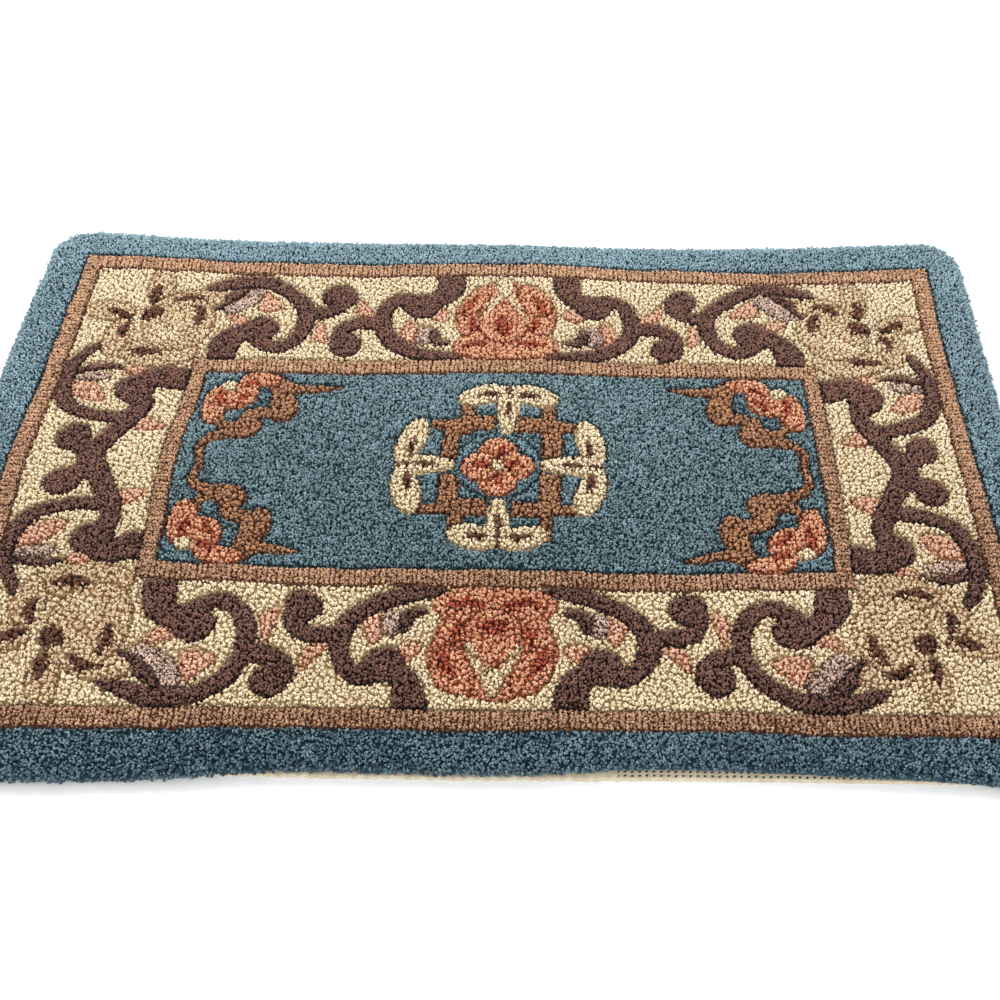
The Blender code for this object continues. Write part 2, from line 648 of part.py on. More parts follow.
def solid_from_rings(name, top_plan, top_heights, top_faces, rim, rings):
    """A closed solid: a top over a plan, rings down its side and a flat underside.

    rim lists the top's vertices along the outline; rings are lower copies of the outline.
    """
    mesh = bmesh.new()
    top = [mesh.verts.new((x * MM, y * MM, z * MM)) for (x, y), z in zip(top_plan, top_heights)]
    for face in top_faces:
        mesh.faces.new([top[i] for i in face])
    upper = [top[i] for i in rim]
    for line, height in rings:
        lower = [mesh.verts.new((x * MM, y * MM, height * MM)) for x, y in line]
        for i in range(len(line)):
            j = (i + 1) % len(line)
            mesh.faces.new((upper[j], upper[i], lower[i], lower[j]))
        upper = lower
    mesh.faces.new(upper)
    bmesh.ops.triangulate(mesh, faces=[f for f in mesh.faces if len(f.verts) > 3])
    bmesh.ops.recalc_face_normals(mesh, faces=mesh.faces)
    data = bpy.data.meshes.new(name)
    mesh.to_mesh(data)
    mesh.free()
    data.shade_smooth()
    data.set_sharp_from_angle(angle=math.radians(SMOOTH_ANGLE))
    return bpy.data.objects.new(name, data)


def principled(name, colour, roughness):
    """A plain material of one colour."""
    material = bpy.data.materials.new(name)
    material.use_nodes = True
    shader = material.node_tree.nodes["Principled BSDF"]
    shader.inputs["Base Color"].default_value = colour
    shader.inputs["Roughness"].default_value = roughness
    shader.inputs["Metallic"].default_value = 0.0
    return material


def centred(outline):
    """The shift that puts the middle of the outline's box over the origin."""
    return -(outline.max(axis=0) + outline.min(axis=0)) / 2


def pile_object(outline, bands, motifs):
    """The tufted wool pile: one solid with a rounded rim and shorn grooves."""
    closed_lines = [inset_line(outline, inset) for inset in RIM_INSETS]
    for line in bands:
        closed_lines.append(line)
        closed_lines.append(inset_line(line, BAND_GROOVE_HALF_WIDTH))
        closed_lines.append(inset_line(line, -BAND_GROOVE_HALF_WIDTH))
    open_lines, taken = thinned(motifs, np.vstack(closed_lines), CLEAR_GAP)
    beside, taken = thinned(shoulders(motifs, bands), taken, CLEAR_GAP)
    loose = field_points(bands, motifs, taken)
    plan, faces, origin = triangulated(outline, closed_lines, open_lines + beside, loose)
    root = BACKING_THICKNESS + CLEARANCE
    heights = root + pile_heights(plan, outline, bands, motifs)
    rings = [
        (inset_line(outline, RIM_UNDERCUT_INSET), root + RIM_UNDERCUT_HEIGHT),
        (inset_line(outline, RIM_ROOT_INSET), root),
    ]
    pile = solid_from_rings("pile", plan, heights, faces, rim_vertices(outline, origin), rings)
    pile.data.materials.append(principled("wool", WOOL_COLOUR, WOOL_ROUGHNESS))
    return pile


def backing_outline(outline, shift):
    """The canvas edge: inside the pile all round, but in sight along the middle of the front."""
    line = inset_line(outline, BACKING_INSET)
    front = line[:, 1] < -HALF_WIDTH + 2 * CORNER_RADIUS
    straight = front & (np.abs(line[:, 0]) < HALF_LENGTH - CORNER_RADIUS)
    canvas = along(CANVAS_FRONT, STATION_SPAN["front"], line[:, 0] - shift[0]) + shift[1]
    line[straight, 1] = np.minimum(canvas[straight], line[straight, 1])
    return line


def backing_object(outline, shift):
    """The canvas backing with its turned hem: a flat sheet whose edge is softly rounded."""
    edge = backing_outline(outline, shift)
    inner = inset_line(edge, HEM_EDGE_ROUNDING)
    top_z = BACKING_THICKNESS
    plan, faces, origin = triangulated(inner, [], [], [])
    rings = [
        (edge, top_z - HEM_EDGE_ROUNDING),
        (edge, HEM_EDGE_ROUNDING),
        (inner, 0.0),
    ]
    heights = np.full(len(plan), top_z)
    backing = solid_from_rings("backing", plan, heights, faces, rim_vertices(inner, origin), rings)
    backing.data.materials.append(principled("canvas", CANVAS_COLOUR, CANVAS_ROUGHNESS))
    return backing


def main():
    for leftover in list(bpy.data.objects):
        bpy.data.objects.remove(leftover)
    collection = bpy.data.collections.new("tufted_rug")
    bpy.context.scene.collection.children.link(collection)
    outline = wander(rounded_rectangle(HALF_LENGTH, HALF_WIDTH, CORNER_RADIUS, RIM_STEP))
    shift = centred(outline)
    outline = outline + shift
    bands = [line + shift for line in band_lines()]
    motifs = [line + shift for line in motif_lines()]
    collection.objects.link(pile_object(outline, bands, motifs))
    collection.objects.link(backing_object(outline, shift))


main()
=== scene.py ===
"""A small hand-tufted wool rug in the sculpted Chinese manner, dressed for rendering.

The pile is a thick mat with tufts of wool standing on it, one piece for each yarn, and the
backing is a canvas whose hem shows along the front. Sizes are in millimetres. The plan is an
ideal drawing, which is then moved to where the hand-made rug has it.
"""

import math

import bpy
import numpy as np
from mathutils import Matrix, Vector


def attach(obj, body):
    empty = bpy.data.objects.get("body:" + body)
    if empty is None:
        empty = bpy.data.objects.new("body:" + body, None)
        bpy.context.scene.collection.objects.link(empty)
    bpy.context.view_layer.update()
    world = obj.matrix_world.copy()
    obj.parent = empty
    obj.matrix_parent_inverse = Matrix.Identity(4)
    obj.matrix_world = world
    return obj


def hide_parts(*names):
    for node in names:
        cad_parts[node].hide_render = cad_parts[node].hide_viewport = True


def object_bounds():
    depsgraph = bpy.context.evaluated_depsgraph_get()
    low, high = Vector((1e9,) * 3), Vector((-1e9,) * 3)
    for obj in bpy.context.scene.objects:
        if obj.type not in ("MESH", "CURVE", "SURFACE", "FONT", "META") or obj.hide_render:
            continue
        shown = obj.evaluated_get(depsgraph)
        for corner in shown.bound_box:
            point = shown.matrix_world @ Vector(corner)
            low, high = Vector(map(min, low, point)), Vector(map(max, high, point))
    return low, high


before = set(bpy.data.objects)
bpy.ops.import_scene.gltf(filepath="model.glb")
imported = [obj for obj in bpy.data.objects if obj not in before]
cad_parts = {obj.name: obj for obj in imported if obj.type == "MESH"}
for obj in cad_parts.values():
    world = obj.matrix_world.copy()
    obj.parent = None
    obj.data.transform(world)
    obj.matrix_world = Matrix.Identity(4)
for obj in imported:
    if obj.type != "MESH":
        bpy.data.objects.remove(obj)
cad_low, cad_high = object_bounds()

MM = 0.001
SEED = 11

# The ideal drawing's outline and its two brown bands
HALF_LENGTH = 457.0
HALF_WIDTH = 294.0
CORNER_RADIUS = 34.0
OUTER_BAND_OUTER = (421.5, 258.0)
OUTER_BAND_INNER = (404.5, 240.0)
INNER_BAND_OUTER = (293.5, 126.5)
INNER_BAND_INNER = (278.5, 109.0)

# How far the hand-made lines stray from straight ones. Each side has its rug edge, outer band
# and inner band: the line's distance from the middle, and its strays towards +X or +Y at even
# distances along it.
STRAY = {
    "back": (
        (294.0, (10.0, 1.5, 0.0, 0.5, -2.5, 1.5, 11.0)),
        (258.0, (12.0, 4.0, 1.5, 6.0, 0.0, -2.0, 8.5)),
        (126.5, (0.0, 0.0, -1.5, 4.5, 1.0, 1.0, 2.0)),
    ),
    "front": (
        (294.0, (-6.0, -3.0, 7.5, 7.5, 13.0, 9.5, 4.0)),
        (258.0, (-4.0, -2.0, 1.0, 1.0, 4.0, 2.5, 5.0)),
        (126.5, (3.0, 3.0, -2.0, 0.0, -2.0, 3.0, 3.0)),
    ),
    "left": (
        (457.0, (1.0, -3.0, -6.0, -6.0, -5.5, -3.0, 2.0)),
        (421.5, (1.0, -2.0, -6.0, -8.0, -3.0, 0.5, 3.5)),
        (293.5, (1.5, 1.5, 0.0, -2.0, 5.5, 6.0, 6.0)),
    ),
    "right": (
        (457.0, (0.0, 0.0, -1.0, -1.0, -0.5, 0.5, 1.5)),
        (421.5, (0.0, 0.0, 0.0, -0.5, -1.5, 0.0, 3.0)),
        (293.5, (1.0, 1.0, 2.0, 4.5, 2.5, 0.0, 0.0)),
    ),
}
STATION_SPAN = {"back": 421.5, "front": 421.5, "left": 259.0, "right": 259.0}

# Each yarn's colours in daylight, in screen values from 0 to 255: deep between the fibres, where
# painted shade darkens the yarn's own tone, and out on their tips. Then how much its shade varies
# over patches of about a centimetre, how strongly its tufts differ, and how much painted light it
# gets at the back, with as much painted shade at the front, against the middle.
YARN_LOOKS = {
    "border_blue": ((35, 62, 75), (150, 178, 188), 0.05, 0.8, 0.2),
    "field_blue": ((32, 58, 67), (138, 166, 173), 0.05, 0.95, 0.22),
    "band_brown": ((102, 62, 39), (224, 180, 142), 0.07, 0.75, 0.14),
    "cream": ((184, 156, 116), (248, 238, 208), 0.06, 0.6, 0.06),
    "plum": ((41, 16, 13), (145, 101, 85), 0.05, 0.8, 0.08),
    "tan": ((160, 124, 88), (240, 222, 186), 0.15, 0.75, 0.04),
    "dark_brown": ((42, 16, 8), (138, 84, 54), 0.1, 0.8, 0.05),
    "coral": ((153, 79, 50), (246, 196, 156), 0.16, 0.8, 0.06),
    "pink": ((170, 110, 82), (246, 210, 180), 0.1, 0.7, 0.05),
    "dark_red": ((92, 22, 10), (206, 104, 66), 0.12, 0.9, 0.05),
    "rust": ((87, 48, 28), (210, 155, 111), 0.1, 0.85, 0.15),
    "lilac": ((107, 81, 71), (242, 211, 190), 0.12, 0.8, 0.05),
}
DEEP, TIP, VARIEGATION, CONTRAST, BACK_PAINTED_LIGHT = map(np.array, zip(*YARN_LOOKS.values()))
YARNS = tuple(YARN_LOOKS)
YARN = {name: i for i, name in enumerate(YARNS)}

# The greatest distance from a yarn's edge that the drawing keeps, and the points of a soft
# curve for each point that it runs through
REACH = 9.0
CURVE_STEPS = 4


def between(p0, p1, p2, p3, t):
    """On a soft curve through four values, the value a share t of the way along its middle."""
    return (2 * p1 + (p2 - p0) * t + (2 * p0 - 5 * p1 + 4 * p2 - p3) * t**2
            + (3 * p1 - p0 - 3 * p2 + p3) * t**3) / 2


def along(values, span, where):
    """Values at even distances from -span to span, read anywhere with a soft curve between."""
    values = np.asarray(values, float)
    last = len(values) - 1
    place = np.clip((np.asarray(where, float) + span) / (2 * span), 0, 1) * last
    before = np.minimum(place.astype(int), last - 1)
    return between(*(values[np.clip(before + i, 0, last)] for i in (-1, 0, 1, 2)), place - before)


def side_stray(low_side, high_side, across, where):
    """How far points stray across the rug, between the strayed lines on both sides of each."""
    rows = [(-distance, strays, low_side) for distance, strays in STRAY[low_side]]
    rows = sorted(rows + [(distance, strays, high_side) for distance, strays in STRAY[high_side]])
    places = [row[0] for row in rows]
    strays = [along(row[1], STATION_SPAN[row[2]], where) for row in rows]
    result = np.where(across < places[0], strays[0], strays[-1])
    for i in range(len(rows) - 1):
        inside = (across >= places[i]) & (across <= places[i + 1])
        share = (across - places[i]) / (places[i + 1] - places[i])
        result = np.where(inside, strays[i] * (1 - share) + strays[i + 1] * share, result)
    return result


def wander(points):
    """Points of the ideal drawing, moved along with the edges and bands."""
    points = np.asarray(points, float)
    u, v = points.T
    return np.stack([u + side_stray("left", "right", u, v), v + side_stray("front", "back", v, u)], 1)


def smooth(rows, closed=False):
    """Rows of numbers with a soft curve run through them."""
    rows = np.asarray(rows, float)
    if closed:
        padded = np.vstack([rows[-1:], rows, rows[:2]])
    else:
        padded = np.vstack([2 * rows[:1] - rows[1:2], rows, 2 * rows[-1:] - rows[-2:-1]])
    found = [between(*padded[i : i + 4], j / CURVE_STEPS)
             for i in range(len(padded) - 3) for j in range(CURVE_STEPS)]
    return np.array(found if closed else [*found, rows[-1]])


def to_segment(points, a, b):
    """Each point's distance to a straight piece, and its share of the way along it."""
    way = b - a
    t = np.clip((points - a) @ way / max(way @ way, 1e-9), 0, 1)
    return np.linalg.norm(points - a - t[:, None] * way, axis=1), t


def stroke(rows):
    """A stroke through rows of x, y and half width."""
    line = smooth(rows)
    low = (line[:, :2] - line[:, 2:]).min(axis=0)
    high = (line[:, :2] + line[:, 2:]).max(axis=0)

    def distance(points):
        nearest = np.full(len(points), np.inf)
        for a, b in zip(line[:-1], line[1:]):
            gap, t = to_segment(points, a[:2], b[:2])
            nearest = np.minimum(nearest, gap - a[2] - t * (b[2] - a[2]))
        return nearest

    return low, high, distance


def oval(x, y, half_x, half_y, turn=0.0):
    """An ellipse, turned anticlockwise by a number of degrees."""
    reach = max(half_x, half_y)
    c, s = np.cos(np.radians(turn)), np.sin(np.radians(turn))

    def distance(points):
        dx = points[:, 0] - x
        dy = points[:, 1] - y
        a = (c * dx + s * dy) / half_x
        b = (-s * dx + c * dy) / half_y
        size = np.hypot(a, b)
        steepness = np.hypot(a / half_x, b / half_y) / np.maximum(size, 1e-6)
        return np.where(size > 1e-3, (size - 1) / np.maximum(steepness, 1e-6), -min(half_x, half_y))

    return np.array([x - reach, y - reach]), np.array([x + reach, y + reach]), distance


def patch(corners, soft=True):
    """A closed outline through its corners, with or without softening."""
    line = smooth(corners, closed=True) if soft else np.asarray(corners, float)
    low = line.min(axis=0)
    high = line.max(axis=0)

    def distance(points):
        nearest = np.full(len(points), np.inf)
        inside = np.zeros(len(points), bool)
        for a, b in zip(line, np.roll(line, -1, axis=0)):
            nearest = np.minimum(nearest, to_segment(points, a, b)[0])
            crosses = (a[1] > points[:, 1]) != (b[1] > points[:, 1])
            run, rise = b - a
            rise = rise if abs(rise) > 1e-12 else 1e-12
            inside ^= crosses & (points[:, 0] < a[0] + (points[:, 1] - a[1]) * run / rise)
        return np.where(inside, -nearest, nearest)

    return low, high, distance


class Drawing:
    """Yarn and distance to the nearest yarn boundary, at each of many points."""

    def __init__(self, plan, ragged):
        self.back = plan[:, 1] > 0
        self.ragged = ragged
        # quarters folded together until the medallion is drawn
        self.spots = np.abs(plan)
        self.yarn = np.full(len(plan), YARN["border_blue"])
        self.edge = np.full(len(plan), REACH)

    def lay(self, yarn, distance, held=slice(None), shorn=True):
        """Lays a yarn where distance is below zero, shorn round its edge or with a ragged one."""
        if not shorn:
            distance = distance + self.ragged[held]
        inside = distance < 0
        if shorn:
            gap = np.abs(distance)
            kept = np.where(inside, gap, np.minimum(self.edge[held], gap))
            self.edge[held] = np.minimum(kept, REACH)
        self.yarn[held] = np.where(inside, YARN[yarn], self.yarn[held])

    def paint(self, yarn, *forms, half=None, shorn=True):
        """Lays a yarn over the forms together, in both halves of the rug or one."""
        low = np.min([form[0] for form in forms], axis=0) - REACH
        high = np.max([form[1] for form in forms], axis=0) + REACH
        near = ((self.spots > low) & (self.spots < high)).all(axis=1)
        if half is not None:
            near &= self.back == (half == "back")
        near = np.flatnonzero(near)
        if len(near):
            self.lay(yarn, np.min([form[2](self.spots[near]) for form in forms], axis=0), near, shorn)

    def patches(self, yarn, *outlines):
        """Closed outlines, each laid by itself."""
        for corners in outlines:
            self.paint(yarn, patch(corners))

    def marks(self, yarn, *strokes, half=None):
        """Small strokes with a ragged edge."""
        for rows in strokes:
            self.paint(yarn, stroke(rows), half=half, shorn=False)


def box_distance(points, half):
    """Distance to a rectangle round the middle, below zero inside it."""
    gap = np.abs(points) - np.array(half)
    return np.minimum(gap.max(axis=1), 0) + np.linalg.norm(np.maximum(gap, 0), axis=1)


def bands(drawing, plan):
    """The two brown bands, each a ring between two rectangles."""
    for outer, inner in ((OUTER_BAND_OUTER, OUTER_BAND_INNER), (INNER_BAND_OUTER, INNER_BAND_INNER)):
        ring = np.maximum(box_distance(plan, outer), -box_distance(plan, inner))
        drawing.lay("band_brown", ring)


def scroll_by_corner(drawing):
    """The scroll between a corner flower and the scroll by the peony."""
    drawing.patches("pink", [(216, 196), (232, 190), (247, 193), (246, 206), (241, 219), (228, 209)])
    drawing.paint("lilac", stroke([(249, 218, 8), (258, 211, 11), (266, 203, 11), (273, 195, 8)]))
    drawing.paint("plum", stroke([(262, 222, 3.5), (272, 213, 5.5), (281, 202, 5), (287, 193, 3)]))
    drawing.patches("pink", [(274, 186), (262, 185), (250, 178), (257, 169), (268, 175)],
                    [(171, 151), (180, 152), (187, 157), (185, 170), (181, 182), (175, 168)])
    drawing.paint(
        "plum",
        stroke([(270, 126, 13), (270, 140, 14), (265, 153, 12), (253, 162, 11), (241, 167, 13)]),
        oval(238, 167, 18, 17),
        stroke([(243, 160, 10), (237, 151, 8.5), (222, 143, 8), (207, 148, 8), (198, 163, 8), (195, 184, 8),
                (200, 202, 8), (214, 217, 8), (234, 229, 8), (256, 233, 8), (275, 229, 7.5), (290, 222, 5.5),
                (300, 214, 3)]),
        stroke([(196, 191, 8), (184, 190, 8), (171, 193, 8), (162, 201, 8), (160, 210, 8)]),
        oval(171, 213, 15, 14.5),
    )


def scroll_by_middle(drawing):
    """The scroll beside a peony, on the long sides."""
    drawing.patches("pink", [(88, 158), (98, 151), (107, 159), (104, 171), (97, 183), (90, 174)])
    drawing.patches("lilac", [(70, 158), (79, 150), (90, 153), (92, 164), (87, 175), (76, 171)])
    drawing.paint("plum", stroke([(58, 151, 3), (67, 152, 5), (73, 159, 5.5), (74, 168, 3.5)]))
    drawing.patches("pink", [(56, 184), (66, 179), (77, 184), (77, 197), (68, 199), (60, 193)],
                    [(128, 184), (138, 182), (148, 186), (151, 196), (148, 206), (139, 196)])
    drawing.paint(
        "plum",
        stroke([(44, 131, 5.5), (56, 132, 7), (73, 135, 8), (90, 141, 8), (105, 150, 8), (117, 163, 8),
                (121.5, 178, 8), (120, 192, 8), (113, 205, 8), (102, 211, 9), (90, 206, 11)]),
        oval(85, 201, 17, 16.5),
        stroke([(80, 206, 10), (70, 210, 10), (62, 219, 12), (59, 230, 13.5), (59, 244, 13.5)]),
        stroke([(121, 177, 8), (132, 174, 8), (146, 173, 8), (157, 167, 8), (161, 156, 8)]),
        oval(152, 146, 15.5, 15.5),
    )


def side_scroll(drawing):
    """The scroll on the short sides."""
    drawing.patches("pink", [(396, 90), (386, 94), (368, 88), (355, 72), (366, 67), (384, 74)])
    drawing.patches(
        "lilac", [(357, 98), (372, 93), (388, 95), (399, 99), (393, 107), (376, 107), (362, 105)]
    )
    drawing.paint("plum", stroke([(352, 111, 3), (366, 113, 4.5), (382, 110, 4.5), (396, 105, 3)]))
    drawing.patches("pink", [(328, 110), (336, 103), (347, 106), (345, 117), (334, 118)],
                    [(330, 44), (324, 54), (311, 48), (299, 38), (312, 34), (326, 35)])
    drawing.paint(
        "plum",
        stroke([(333, 50, 7), (350, 49, 7.5), (366, 51, 7.5), (382, 57, 7.5), (394, 71, 7.5), (399, 90, 7.5),
                (398, 108, 7), (394, 122, 6.5), (385, 137, 5), (376, 148, 2.5)]),
        oval(333, 86, 17, 17),
        stroke([(331, 80, 10), (323, 67, 9), (330, 50, 9), (339, 33, 9), (347, 17, 10), (354, 3, 12),
                (355, -5, 12)]),
        stroke([(354, 10, 8), (364, 14, 9), (372, 20, 9)]),
        oval(374, 24, 15, 15),
        stroke([(332, 92, 10), (322, 101, 10), (311, 101, 12), (301, 98, 14), (288, 98, 14)]),
    )


def mirrored(outline):
    """An outline's right half, from its first point on the middle line to its last, made whole."""
    return outline + [(-x, y) for x, y in outline[-2:0:-1]]


def peony(drawing):
    """The flower in the middle of the long sides, with other marks at the front than at the back."""
    drawing.patches("coral", mirrored([
        (0, 124), (20, 126), (38, 131), (51, 141), (49, 151), (43, 160), (48, 171), (51, 182),
        (51, 194), (45, 207), (34, 219), (17, 229), (0, 232),
    ]))
    for petal in ((0, 174, 24, 26), (36, 179, 13, 21), (30, 206, 14, 24, 28)):
        drawing.paint("coral", oval(*petal))
    drawing.marks("dark_red", [(10, 145, 3), (22, 143, 5), (34, 145, 3.5), (40, 147, 1.5)], half="front")
    drawing.marks("dark_red", [(14, 147, 1.5), (26, 147, 4), (38, 145, 2)],
                  [(0, 160, 5), (0, 169, 8.5), (0, 178, 6)], half="back")
    drawing.paint("dark_red", oval(0, 166, 12, 8), half="front", shorn=False)
    drawing.marks("dark_red", [(26, 165, 2.5), (31, 173, 4.5), (30, 181, 2.5)],
                  [(40, 188, 2.5), (35, 200, 5), (28, 212, 2.5)])
    drawing.marks("cream", [(22, 182, 1.8), (14, 196, 3), (5, 211, 4)])
    back_wedge = mirrored([(0, 206), (6, 214), (9, 224), (6, 234), (0, 237)])
    front_wedge = mirrored([(0, 203), (6, 208), (9, 215), (5, 224), (0, 229)])
    drawing.paint("cream", patch(back_wedge), half="back")
    drawing.paint("cream", patch(front_wedge), half="front")


def corner_flower(drawing):
    """The open flower in each corner of the cream border."""
    for petal in ((338, 219, 13, 25), (380, 184, 24, 12), (305, 203, 27, 14, -15), (366, 150, 14, 26),
                  (325, 132, 34, 19), (315, 172, 33, 38)):
        drawing.paint("tan", oval(*petal))
    drawing.marks("cream", [(337, 148, 2.5), (326, 151, 4.5), (316, 160, 3.5), (311, 170, 2)],
                  [(348, 168, 2), (356, 164, 3.5), (352, 154, 2)])
    drawing.marks(
        "dark_brown",
        [(341, 199, 3), (342, 208, 5.5), (341, 217, 3)], [(298, 207, 2.5), (309, 205, 5), (320, 200, 3)],
        [(297, 172, 2.5), (296, 184, 5), (300, 194, 3)], [(334, 186, 5), (341, 183, 9), (346, 178, 5)],
        [(362, 178, 2.5), (371, 182, 5.5), (381, 185, 3)], [(362, 152, 3), (364, 161, 5), (361, 169, 3)],
        [(326, 133, 3), (338, 132, 5), (350, 134, 3)],
    )


def field_bracket(drawing):
    """The branch with a flower in each corner of the blue field."""
    drawing.paint(
        "rust",
        oval(198, 66, 13, 18), oval(227, 40, 16, 14),
        stroke([(204, 80, 9), (205, 92, 9), (214, 99, 8)]),
        stroke([(208, 58, 7), (216, 58, 7), (226, 54, 8)]),
        stroke([(236, 46, 8), (248, 44, 8), (254, 52, 7)]),
        stroke([(206, 90, 9), (194, 89, 7), (180, 90, 5.5), (165, 92, 4), (152, 93, 1.5)]),
        stroke([(238, 35, 8), (250, 31, 6), (261, 26, 5), (267, 16, 4.5), (266, 5, 4), (264, -4, 4)]),
    )
    drawing.paint("coral", oval(225, 99, 20, 9.5), oval(263, 68, 12, 24, 6), oval(243, 80, 19, 18))
    drawing.paint("field_blue", oval(218, 78, 7, 8))
    drawing.paint("field_blue", oval(243, 53, 8.5, 7))
    drawing.marks("dark_red", [(226, 93, 2), (234, 92, 4), (241, 87, 2)],
                  [(257, 84, 2), (260, 75, 4.5), (258, 64, 2)], [(231, 80, 2), (238, 76, 4), (243, 68, 2)])
    drawing.paint("cream", oval(254, 91, 8, 7))


# The medallion's fret as straight bars. Each row: from x, to x, from y, to y
FRET = (
    (-37, -24, 34, 73), (-37, -5, 38, 56), (-50, -35, 8, 53), (-62, -48, 42, 53),
    (37, 50, 50, 73), (12, 50, 37, 55), (37, 56, 8, 52), (50, 70, 38, 51),
    (37, 47, -80, -50), (12, 48, -56, -40), (36, 55, -52, -9), (50, 74, -53, -42),
    (-41, -28, -74, -50), (-41, -8, -56, -37), (-51, -33, -52, -10), (-72, -48, -53, -42),
)

# The four cream butterflies. Each row: quarter turns from the back, middle, half span, outer reach
BUTTERFLIES = ((0, 6, 44, 95), (1, 1, 52, 92), (2, 1, 41, 91), (3, 0, 52, 94))


def medallion(drawing):
    """The fret, its four butterflies and the flower in the middle of the field."""
    bars = [patch([(a, c), (b, c), (b, d), (a, d)], soft=False) for a, b, c, d in FRET]
    drawing.paint("rust", *bars)
    for turns, middle, half_span, outer in BUTTERFLIES:
        angle = math.radians(90 * turns)
        turn = np.array([[math.cos(angle), -math.sin(angle)], [math.sin(angle), math.cos(angle)]])
        shift = -middle if turns == 2 else middle

        def place(across, out, *rest):
            return (*(turn @ (across + shift, out)), *rest)

        lobes = [
            oval(*place(side * 0.53 * half_span, outer - 14), 0.53 * half_span, 12.5, 90 * turns - side * 15)
            for side in (-1, 1)
        ]
        stem = stroke([place(0, outer - 13, 11), place(0, outer - 24, 11), place(0, 57, 9.5),
                       place(0, 45, 7), place(0, 37, 4)])
        drawing.paint("cream", *lobes, stem)
        drawing.marks("dark_brown", [place(0, outer - 4, 1.6), place(0, outer - 15, 2.2)],
                      [place(0, 71, 1.8), place(0, 64, 3.2), place(0, 55, 1.8)])
        for side in (-1, 1):
            drawing.marks("dark_brown", [place(side * 9, outer - 15, 1.8), place(side * 18, outer - 14, 3.6),
                                         place(side * 28, outer - 16, 1.8)])
    drawing.paint("field_blue", oval(0, -1, 37.5, 36))
    for x, y in ((0, 14), (15, -2), (0, -18), (-15, -2)):
        drawing.paint("coral", oval(x, y, 17.5, 16))
    for x, y in ((0.3, 1), (1, 0.1), (0, -1), (-1, 0.1)):
        drawing.marks("dark_red", [(r * x, r * y - 1, half) for r, half in ((7, 2.2), (13, 4.8), (20, 2.2))])
    drawing.paint("cream", oval(0, 0, 6, 6))


# How far the motifs stray from the ideal drawing, which is the same in every quarter.
# Each row: place in the ideal quarter, stray there, both as x away from the middle and y
# away from the middle.
MOTIF_STRAY = {
    "back right": (
        (172, 213, 3, 1), (160, 205, 9, 3), (213, 217, 7, -5), (256, 233, 3, -1), (295, 218, 9, 4),
        (195, 184, 1, 0), (222, 143, 0, 0), (238, 167, 0, 1), (270, 138, 2, 1), (140, 195, 3, -3),
        (152, 146, 6, -2), (308, 204, 12, -1), (341, 208, 5, -10), (341, 183, 0, -8), (296, 184, 1, 0),
        (371, 182, 4, -5), (363, 160, 5, -3), (338, 132, 6, -1), (59, 230, 5, -4), (85, 201, 2, -1),
        (105, 211, 4, -5), (106, 151, 6, -5), (73, 135, 3, -4), (301, 98, 0, -4), (333, 86, 2, 0),
        (398, 95, -1, 0), (374, 24, 0, 0), (312, 42, 2, -9), (196, 66, 0, 4), (152, 93, 0, 0),
        (243, 53, -1, -1), (264, 0, 0, 0),
    ),
    "back left": (
        (172, 213, -12, 2), (184, 190, -4, 0), (213, 217, 0, 0), (285, 225, 0, -5), (258, 208, -11, -6),
        (238, 167, -5, 0), (270, 138, -4, 2), (195, 184, -1, 0), (222, 143, 0, -1), (179, 165, -4, 0),
        (140, 195, -7, 4), (152, 146, -1, 2), (59, 230, -10, -5), (85, 201, -5, -1), (105, 211, -4, -4),
        (90, 141, 0, -4), (85, 165, -12, -5), (341, 208, 1, 1), (341, 183, 1, -1), (371, 182, 0, -1),
        (301, 98, 1, 1), (333, 86, 5, 0), (399, 90, 1, 1), (374, 24, -1, 4), (354, 3, -1, 0),
        (264, 0, -8, 0), (267, 16, -6, 3), (218, 78, 0, 2), (152, 93, -3, -2), (227, 40, 5, 2),
        (245, 53, -5, 0),
    ),
    "front left": (
        (171, 213, 2, 6), (213, 217, -3, 5), (256, 233, 0, 0), (222, 143, 0, 4), (238, 167, 1, 0),
        (270, 138, 0, 0), (195, 184, -1, 1), (260, 208, -7, 0), (59, 230, 6, 0), (85, 201, 0, 0),
        (105, 211, 0, 0), (80, 160, -6, 0), (85, 141, 0, 0), (363, 160, 7, 0), (341, 183, 7, -1),
        (371, 182, 5, -1), (296, 184, 11, 2), (309, 205, 10, 0), (341, 208, 8, -1), (338, 132, 4, 0),
        (301, 98, 2, -6), (333, 86, 1, 1), (399, 90, 2, 3), (374, 24, -5, 4), (341, 33, -8, 0),
        (337, 110, 5, 0), (264, 0, -10, 0), (245, 53, -4, -2), (152, 93, 14, 1), (218, 78, 6, 2),
        (254, 91, 7, -2), (255, 31, 4, -1), (265, 14, -10, 2),
    ),
    "front right": (
        (160, 205, 5, 0), (213, 217, 1, 0), (270, 138, 4, 3), (238, 167, 0, -1), (222, 143, 0, 3),
        (262, 178, 4, -3), (59, 230, 3, 0), (85, 201, 0, 0), (152, 146, 5, -2), (341, 183, -1, -7),
        (371, 182, 3, -7), (296, 184, -1, 0), (309, 205, 14, 0), (341, 208, 3, -10), (338, 132, 3, -3),
        (363, 160, 1, -3), (301, 98, -1, -4), (333, 86, 0, 0), (398, 95, -2, 0), (374, 24, -1, 0),
        (312, 42, 0, -5), (375, 105, -6, 4), (264, 0, 0, -3), (152, 93, 6, 4), (218, 78, 3, 4),
        (254, 91, 4, 0),
    ),
}
STRAY_REACH = 17.0
STRAY_HOLD = 0.25
STRAY_FADE = 14.0


